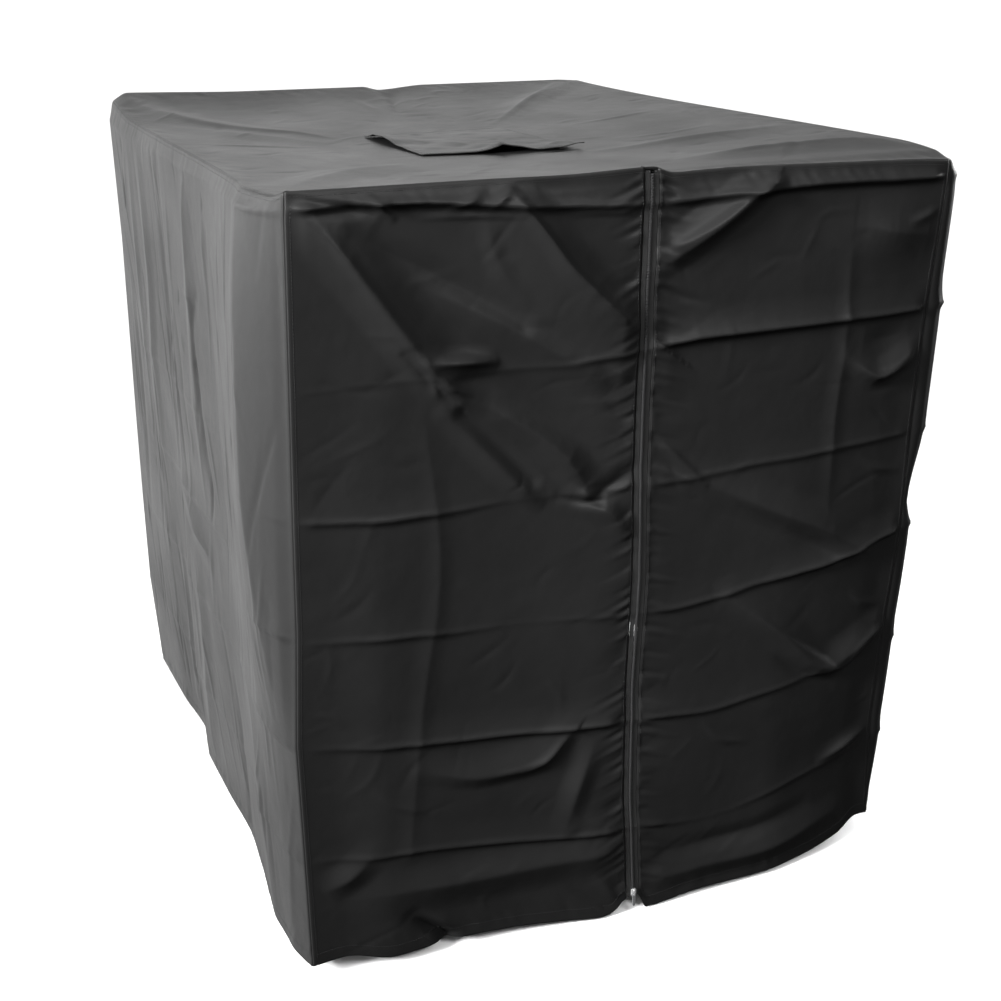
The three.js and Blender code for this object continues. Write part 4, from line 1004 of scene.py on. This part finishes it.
def nylon_coil(colour):
    """Drawn nylon monofilament of the zip's coil: dark grey, dulled by handling in patches."""
    material, tree, shader = new_material("Nylon zip coil")
    where = add_node(tree, "ShaderNodeTexCoord").outputs["Object"]
    patch_size = 20   # mm, from one dulled patch to the next
    wear = add_node(tree, "ShaderNodeTexNoise", {},
                    {"Vector": where, "Scale": 1000 / patch_size, "Detail": 3.0})
    gloss = add_node(tree, "ShaderNodeMapRange", {},
                     {"Value": wear.outputs["Fac"], "To Min": 0.7, "To Max": 0.85})
    fill(tree, shader, {"Base Color": (*colour, 1), "Roughness": gloss.outputs["Result"]})
    return material


def cast_metal(name, colour, roughness, grain):
    """Plated zinc, die cast and tumbled: soft pale reflections broken by scratches, whose size is grain
    in mm. They are drawn coarser than the real ones, so that they show."""
    material, tree, shader = new_material(name)
    where = add_node(tree, "ShaderNodeTexCoord").outputs["Object"]
    scratches = add_node(tree, "ShaderNodeTexNoise", {},
                         {"Vector": where, "Scale": 1000 / grain, "Detail": 4.0})
    bump = add_node(tree, "ShaderNodeBump", {},
                    {"Strength": 0.2, "Distance": 0.0001, "Height": scratches.outputs["Fac"]})
    gloss = add_node(tree, "ShaderNodeMapRange", {},
                     {"Value": scratches.outputs["Fac"],
                      "To Min": roughness - 0.08, "To Max": roughness + 0.12})
    fill(tree, shader, {"Base Color": (*colour, 1), "Metallic": 1.0, "Roughness": gloss.outputs["Result"],
                        "Normal": bump.outputs["Normal"]})
    return material


def studio_paper(colour):
    """Matt background paper: even, pale and without shine."""
    material, tree, shader = new_material("Matt studio paper")
    where = add_node(tree, "ShaderNodeTexCoord").outputs["Object"]
    fibre_size = 4   # mm, drawn coarser than the real fibres, so that they show
    fibre = add_node(tree, "ShaderNodeTexNoise", {},
                     {"Vector": where, "Scale": 1000 / fibre_size, "Detail": 2.0})
    bump = add_node(tree, "ShaderNodeBump", {},
                    {"Strength": 0.1, "Distance": 0.0002, "Height": fibre.outputs["Fac"]})
    fill(tree, shader, {"Base Color": (*colour, 1), "Roughness": 0.95, "Specular IOR Level": 0.1,
                        "Normal": bump.outputs["Normal"]})
    return material


def colour_property(name, description, code):
    return FloatVectorProperty(name=name, description=description, default=linear(code),
                               subtype="COLOR", size=3, min=0, max=1)


def length_property(name, description, metres, least, most):
    return FloatProperty(name=name, description=description, default=metres, min=least, max=most,
                         unit="LENGTH")


def power_property(name, description, watts):
    return FloatProperty(name=name, description=description, default=watts, min=0, max=2000, unit="POWER")


class ClothSettings(bpy.types.PropertyGroup):
    """Sizes and finish of the coated cloth."""

    cell: length_property("Cell", "Side of a cell in the front sheets", 0.003, 0.002, 0.02)
    side_cell: length_property("Side cell", "Side of a cell in the left sheet", 0.004, 0.002, 0.02)
    far_cell: length_property("Far cell", "Side of a cell in the other sheets", 0.0052, 0.002, 0.02)
    colour: colour_property("Cloth colour", "Colour of the black cloth", "141414")
    worn_colour: colour_property("Dusty colour", "Colour where the coating is duller", "1b1b1b")
    roughness: FloatProperty(name="Roughness", description="Roughness of the coating", default=0.46,
                             min=0.1, max=1, subtype="FACTOR")
    thread: length_property("Thread spacing", "From one thread of the weave to the next", 0.0006,
                            0.0002, 0.005)


class SewingSettings(bpy.types.PropertyGroup):
    """Sizes and colours of the stitches and the zip."""

    stitch: length_property("Stitch", "Length of a stitch", 0.0036, 0.001, 0.01)
    pitch: length_property("Stitch pitch", "From one stitch to the next", 0.0046, 0.002, 0.02)
    thread_colour: colour_property("Thread colour", "Colour of the sewing thread", "101011")
    tape_colour: colour_property("Tape colour", "Colour of the zip's tapes", "0c0c0c")
    coil_colour: colour_property("Coil colour", "Colour of the zip's coil", "0e0e0f")
    coil_pitch: length_property("Coil pitch", "From one turn of the coil to the next", 0.0021, 0.001, 0.01)
    slider_colour: colour_property("Slider colour", "Colour of the slider's nickel plating", "f2f2f2")
    pull_colour: colour_property("Pull colour", "Colour of the pull's gunmetal plating", "b6b7b9")


class StudioSettings(bpy.types.PropertyGroup):
    """Light and background."""

    paper: colour_property("Paper", "Colour of the background paper", "f8f8f8")
    back_light: FloatProperty(name="Light from behind", default=1.75, min=0, max=10,
                              description="Brightness of the room behind the cover")
    front_light: FloatProperty(name="Light from the front", default=0.04, min=0, max=10,
                               description="Brightness of the room in front of the cover")
    side_lamp: power_property("Side lamp", "Power of the soft lamp at the left", 52)
    rear_lamp: power_property("Rear lamp", "Power of the soft lamp at the left, behind the cover", 6)
    right_lamp: power_property("Right lamp", "Power of the soft lamp at the right", 16)
    front_lamp: power_property("Front lamp", "Power of the soft lamp high in front", 10)


class CoverSettings(bpy.types.PropertyGroup):
    """All that a user would change on the cover."""

    cloth: PointerProperty(type=ClothSettings, name="Cloth", description="Sizes and finish of the cloth")
    sewing: PointerProperty(type=SewingSettings, name="Sewing", description="Stitches and zip")
    studio: PointerProperty(type=StudioSettings, name="Studio", description="Light and background")


def settings():
    return bpy.context.scene.tank_cover


def cloth_material():
    found = bpy.data.materials.get("Coated Oxford polyester")
    return found or coated_oxford(settings().cloth)


def place(piece, slot, *nodes):
    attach(piece, "root")
    if nodes:
        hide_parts(*nodes)


class TANKCOVER_OT_top(bpy.types.Operator):
    """Lays the top panel, with its filler opening"""

    bl_idname = "tank_cover.top"
    bl_label = "Top panel"

    def execute(self, context):
        cell = settings().cloth.far_cell * 1000
        hole_u, hole_v = top_fractions(OPENING["x"], OPENING["y"])
        us, inside_u = self.stops(hole_u, TOP_WIDTH, cell)
        vs, inside_v = self.stops(hole_v, TOP_CLOTH_LENGTH, cell)
        points = turn_both(top_points(*np.meshgrid(us, vs, indexing="ij")), AT_TOP_FRONT)
        points = turn_both(points.transpose(1, 0, 2), AT_TOP_SIDE).transpose(1, 0, 2)
        kept = np.pad(~(inside_u[:, None] & inside_v[None, :]), 1, constant_values=True)
        piece = grid_object("top_cloth", points, cloth_material(), kept=kept)
        place(piece, "coated_cloth", "top_panel")
        return {"FINISHED"}

    @staticmethod
    def stops(hole, width, cell):
        """Fractions across the top with the hole's two edges among them, and which steps cross the hole."""
        ends = [0, *hole, 1]
        runs = [np.linspace(a, b, int((b - a) * width / cell) + 1)[:-1]
                for a, b in zip(ends[:-1], ends[1:])]
        stops = np.concatenate([*runs, [1]])
        middles = (stops[1:] + stops[:-1]) / 2
        return stops, (middles > hole[0]) & (middles < hole[1])


class TANKCOVER_OT_flap(bpy.types.Operator):
    """Lays the flap over the filler opening"""

    bl_idname = "tank_cover.flap"
    bl_label = "Flap"

    def execute(self, context):
        across, depth = np.meshgrid(*(np.linspace(0, 1, count) for count in FLAP_GRID), indexing="ij")
        piece = grid_object("flap_cloth", flap_points(across, depth), cloth_material())
        doubled = piece.modifiers.new("Folded hem", "SOLIDIFY")
        doubled.thickness = FLAP["thickness"] / 1000
        doubled.offset = -1
        place(piece, "coated_cloth", "top_flap")
        return {"FINISHED"}


class TANKCOVER_OT_walls(bpy.types.Operator):
    """Hangs the left, right and back walls"""

    bl_idname = "tank_cover.walls"
    bl_label = "Walls"

    def execute(self, context):
        cloth = settings().cloth
        for side, cell, flip, width, hem, seam in (
                ("left", cloth.side_cell, True, 1.22, INTO_SIDE, AT_TOP_SIDE),
                ("right", cloth.far_cell, False, 1.22, INTO_SIDE, AT_TOP_SIDE),
                ("back", cloth.far_cell, True, 1.04, INTO_FRONT, AT_TOP_FRONT)):
            points = wall_grid(WALLS[side], straight(0), straight(1), cell * 1000)
            points = turn_edges(points, AT_CORNER, AT_CORNER, hem, seam)
            piece = grid_object(side + "_cloth", points, cloth_material(), flip)
            place(piece, "coated_cloth", side + "_wall")
        return {"FINISHED"}


class TANKCOVER_OT_front(bpy.types.Operator):
    """Hangs the two front panels beside the zip"""

    bl_idname = "tank_cover.front"
    bl_label = "Front panels"

    def execute(self, context):
        cell = settings().cloth.cell * 1000
        for name, lines, edges in (
                ("front_left", (straight(0), beside_zip(-ZIP_EDGE)), (AT_CORNER, INTO_FRONT)),
                ("front_right", (beside_zip(ZIP_EDGE), straight(1)), (INTO_FRONT, AT_CORNER))):
            points = wall_grid(WALLS["front"], *lines, cell)
            points = turn_edges(points, *edges, INTO_FRONT, AT_TOP_FRONT)
            piece = grid_object(name + "_cloth", points, cloth_material())
            place(piece, "coated_cloth", name + "_panel")
        return {"FINISHED"}


class TANKCOVER_OT_zip(bpy.types.Operator):
    """Sews in the zip: two tapes, the closed coil, and the finish of slider and pull"""

    bl_idname = "tank_cover.zip"
    bl_label = "Zip"

    def execute(self, context):
        sewing = settings().sewing
        tape = zip_tape_weave(sewing.tape_colour)
        for side, edges in (("left", (-TAPE_OUTER, -TAPE_INNER)), ("right", (TAPE_INNER, TAPE_OUTER))):
            offset, z = self.strip(edges, TAPE_ENDS, TAPE_STEPS)
            ribs = RIB_SINK * np.sin(offset * math.pi / RIB_WIDTH)
            piece = grid_object("zip_tape_cloth_" + side, front_at(offset, z, TAPE_SINK + ribs), tape)
            place(piece, "zip_tape", "zip_tape_" + side)
        self.coil(nylon_coil(sewing.coil_colour), sewing.coil_pitch * 1000)
        bright = cast_metal("Nickel plated zinc", sewing.slider_colour, roughness=0.5, grain=1.2)
        dark = cast_metal("Gunmetal plated zinc", sewing.pull_colour, roughness=0.5, grain=0.9)
        for node, metal in (("zip_slider", bright), ("zip_pull", dark)):
            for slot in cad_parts[node].material_slots:
                slot.material = metal
        return {"FINISHED"}

    @staticmethod
    def strip(edges, ends, steps):
        """Offsets and heights of a grid along the zip, five points wide."""
        return np.meshgrid(np.linspace(*edges, 5), np.linspace(*ends, steps), indexing="ij")

    def coil(self, material, pitch):
        low, high = CHAIN_ENDS
        z = np.arange(low + pitch, high - pitch, pitch)
        shift = np.where(np.arange(len(z)) % 2 == 0, -COIL_SHIFT, COIL_SHIFT)
        centres = front_at(shift, z, COIL_SINK)
        along = np.broadcast_to([1.0, 0, 0], centres.shape)
        up = np.gradient(centres, axis=0)
        up /= np.linalg.norm(up, axis=1, keepdims=True)
        sizes = (COIL_LENGTH, pitch * COIL_OVERLAP, COIL_THICKNESS)
        turns = rod_object("zip_coil_turns", centres, along, up, np.cross(along, up), sizes, material)
        offset, heights = self.strip((-CHAIN_HALF, CHAIN_HALF), CHAIN_ENDS, CORE_STEPS)
        core = grid_object("zip_coil_core", front_at(offset, heights, CORE_SINK), material)
        place(turns, "zip_coil", "zip_chain")
        place(core, "zip_coil")


class TANKCOVER_OT_stitches(bpy.types.Operator):
    """Sews the hem, the seams, the zip and the flap"""

    bl_idname = "tank_cover.stitches"
    bl_label = "Stitches"

    def execute(self, context):
        sewing = settings().sewing
        sizes = (sewing.stitch * 1000, THREAD_WIDTH, THREAD_HEIGHT)
        sewn = (sizes, sewing.pitch * 1000, polyester_thread(sewing.thread_colour))
        steps, upright = np.linspace(*WALL_SPAN), np.linspace(*CORNER_SPAN)
        for side, wall in WALLS.items():
            rows = [(steps, straight(HEM_DEPTH / WALL_HEIGHT)(steps)),
                    (steps, straight(1 - SEAM_DEPTH / WALL_HEIGHT)(steps))]
            if side in ("front", "back"):
                rows += [(straight(u)(upright), upright) for u in (CORNER_ROW, 1 - CORNER_ROW)]
            if side == "front":
                up = np.linspace(*ZIP_SPAN)
                rows += [(beside_zip(offset)(up), up) for offset in (-ZIP_ROW, ZIP_ROW)]
                away = np.abs(steps - ZIP_HEM) * FRONT_WIDTH > ZIP_GAP
                rows[0] = tuple(values[away] for values in rows[0])
            self.sew("stitches_" + side, wall.points, rows, wall.outward, *sewn)
        steps = np.linspace(*FLAP_SPAN)
        rows = [(steps, straight(FLAP_ROW)(steps)), (straight(FLAP_ROW)(steps), steps),
                (straight(1 - FLAP_ROW)(steps), steps), (steps, straight(FLAP_BACK_ROW)(steps))]
        self.sew("stitches_flap", flap_points, rows, np.array([0, 0, 1.0]), *sewn)
        return {"FINISHED"}

    @staticmethod
    def sew(name, surface, rows, outward, sizes, pitch, material):
        """Lays stitches a pitch apart along rows of a surface, standing out on its outward side."""
        centres, ways, outs = [], [], []
        for u, v in rows:
            steps = np.linalg.norm(np.diff(surface(u, v), axis=0), axis=1)
            steps[steps > ROW_GAP] = 0
            length = np.concatenate([[0], np.cumsum(steps)])
            at = np.arange(pitch, length[-1] - pitch, pitch)
            u_at, v_at = np.interp(at, length, u), np.interp(at, length, v)
            here = surface(u_at, v_at)
            way = np.gradient(here, axis=0)
            du = surface(u_at + SLOPE_STEP, v_at) - surface(u_at - SLOPE_STEP, v_at)
            dv = surface(u_at, v_at + SLOPE_STEP) - surface(u_at, v_at - SLOPE_STEP)
            out = np.cross(du, dv)
            for directions in (way, out):
                directions /= np.linalg.norm(directions, axis=1, keepdims=True)
            out *= np.sign(out @ outward)[:, None]
            centres.append(here + out * THREAD_OUT)
            ways.append(way)
            outs.append(out)
        centres, ways, outs = (np.concatenate(group) for group in (centres, ways, outs))
        piece = rod_object(name, centres, ways, np.cross(outs, ways), outs, sizes, material)
        place(piece, "coated_cloth")


# The camera stands where the photograph was taken from. Its angles are in degrees, its lens in mm.
CAMERA_PLACE = (-0.999, -2.365, 0.307)
CAMERA_DOWN, CAMERA_TURN = 20.47, 23.92
LENS, SENSOR, FARTHEST = 52.9, 36, 200
FLOOR_HALF = 60

# The soft lamps: name, place, the point each is turned to, width and height, and its power's setting.
LAMPS = (
    ("Left softbox", (-3.5, -1.5, 1.1), (0, -0.6, -0.3), (1.0, 1.0), "side_lamp"),
    ("Left rear softbox", (-3.0, 2.2, 0.3), (-0.5, 0, -0.45), (1.2, 1.2), "rear_lamp"),
    ("Right softbox", (3.4, 0.5, 0.4), (0.5, 0, -0.5), (1.2, 1.2), "right_lamp"),
    ("High front softbox", (0.4, -3.6, 2.1), (0, -0.6, -0.5), (1.4, 1.0), "front_lamp"),
)

# Grids on the softboxes keep their light on the cover and off the floor. The angle is in degrees.
LAMP_SPREAD = 50

# The way to the room's brightest part, and how far round from it the light is at its least and its most.
ROOM_WAY, ROOM_DIM, ROOM_BRIGHT = (-0.65, 0.55, 0.6), -0.2, 0.55
BACKDROP_LIGHT = 1.05


class TANKCOVER_OT_studio(bpy.types.Operator):
    """Sets the camera, the pale floor and the soft light"""

    bl_idname = "tank_cover.studio"
    bl_label = "Studio"

    def execute(self, context):
        studio = settings().studio
        self.camera()
        self.floor(studio)
        self.room(studio)
        for name, at, target, size, power in LAMPS:
            self.lamp(name, at, target, size, getattr(studio, power))
        context.scene.view_settings.view_transform = "Standard"
        return {"FINISHED"}

    @staticmethod
    def camera():
        data = bpy.data.cameras.new("Camera")
        data.lens, data.sensor_width = LENS, SENSOR
        data.clip_end = FARTHEST
        thing = add_object("Camera", data)
        thing.location = CAMERA_PLACE
        thing.rotation_euler = (math.radians(90 - CAMERA_DOWN), 0, math.radians(-CAMERA_TURN))
        bpy.context.scene.camera = thing

    @staticmethod
    def floor(studio):
        z = CAD_BOX[0][2]
        points = [(x * FLOOR_HALF, y * FLOOR_HALF, z) for x, y in ((-1, -1), (1, -1), (1, 1), (-1, 1))]
        thing = mesh_object("Floor", points, [(0, 1, 2, 3)], studio_paper(studio.paper), smooth=False)
        # The paper throws no light back: the foot of the cover is its darkest part in the photograph.
        thing.visible_diffuse = False
        thing.visible_glossy = False

    @staticmethod
    def room(studio):
        """A pale room that is bright above, behind and to the left of the cover and dim in front of it."""
        world = bpy.data.worlds.new("Studio room")
        world.use_nodes = True
        tree = world.node_tree
        way = add_node(tree, "ShaderNodeTexCoord").outputs["Generated"]
        facing = add_node(tree, "ShaderNodeVectorMath", {"operation": "DOT_PRODUCT"},
                          {0: way, 1: Vector(ROOM_WAY).normalized()})
        level = add_node(tree, "ShaderNodeMapRange", {"interpolation_type": "SMOOTHSTEP"},
                         {"Value": facing.outputs["Value"], "From Min": ROOM_DIM, "From Max": ROOM_BRIGHT,
                          "To Min": studio.front_light, "To Max": studio.back_light})
        room = tree.nodes["Background"]
        fill(tree, room, {"Color": (1, 1, 1, 1), "Strength": level.outputs["Result"]})
        # Beyond the floor's edge the room is seen as the same pale paper, whatever light it gives.
        paper = add_node(tree, "ShaderNodeBackground", {},
                         {"Color": (1, 1, 1, 1), "Strength": BACKDROP_LIGHT})
        seen = add_node(tree, "ShaderNodeLightPath").outputs["Is Camera Ray"]
        both = add_node(tree, "ShaderNodeMixShader", {}, {0: seen, 1: room.outputs[0], 2: paper.outputs[0]})
        fill(tree, tree.nodes["World Output"], {"Surface": both.outputs[0]})
        bpy.context.scene.world = world

    @staticmethod
    def lamp(name, at, target, size, power):
        data = bpy.data.lights.new(name, "AREA")
        data.shape = "RECTANGLE"
        data.size, data.size_y = size
        data.energy = power
        data.spread = math.radians(LAMP_SPREAD)
        thing = add_object(name, data)
        thing.location = at
        thing.rotation_euler = (Vector(target) - Vector(at)).to_track_quat("-Z", "Y").to_euler()


PIECES = (TANKCOVER_OT_top, TANKCOVER_OT_flap, TANKCOVER_OT_walls, TANKCOVER_OT_front, TANKCOVER_OT_zip,
          TANKCOVER_OT_stitches, TANKCOVER_OT_studio)


class TANKCOVER_PT_panel(bpy.types.Panel):
    """Settings of the cover and a button for each piece"""

    bl_label = "Tank cover"
    bl_idname = "TANKCOVER_PT_panel"
    bl_space_type = "VIEW_3D"
    bl_region_type = "UI"
    bl_category = "Tank cover"

    def draw(self, context):
        for group in (settings().cloth, settings().sewing, settings().studio):
            box = self.layout.box()
            for name in group.bl_rna.properties.keys():
                if name not in ("rna_type", "name"):
                    box.prop(group, name)
        for piece in PIECES:
            self.layout.operator(piece.bl_idname)


CLASSES = (ClothSettings, SewingSettings, StudioSettings, CoverSettings, *PIECES, TANKCOVER_PT_panel)


def register():
    for item in CLASSES:
        bpy.utils.register_class(item)
    bpy.types.Scene.tank_cover = PointerProperty(type=CoverSettings)


def unregister():
    del bpy.types.Scene.tank_cover
    for item in reversed(CLASSES):
        bpy.utils.unregister_class(item)


def main():
    register()
    for piece in PIECES:
        getattr(bpy.ops.tank_cover, piece.bl_idname.split(".")[1])()


if __name__ == "__main__":
    main()
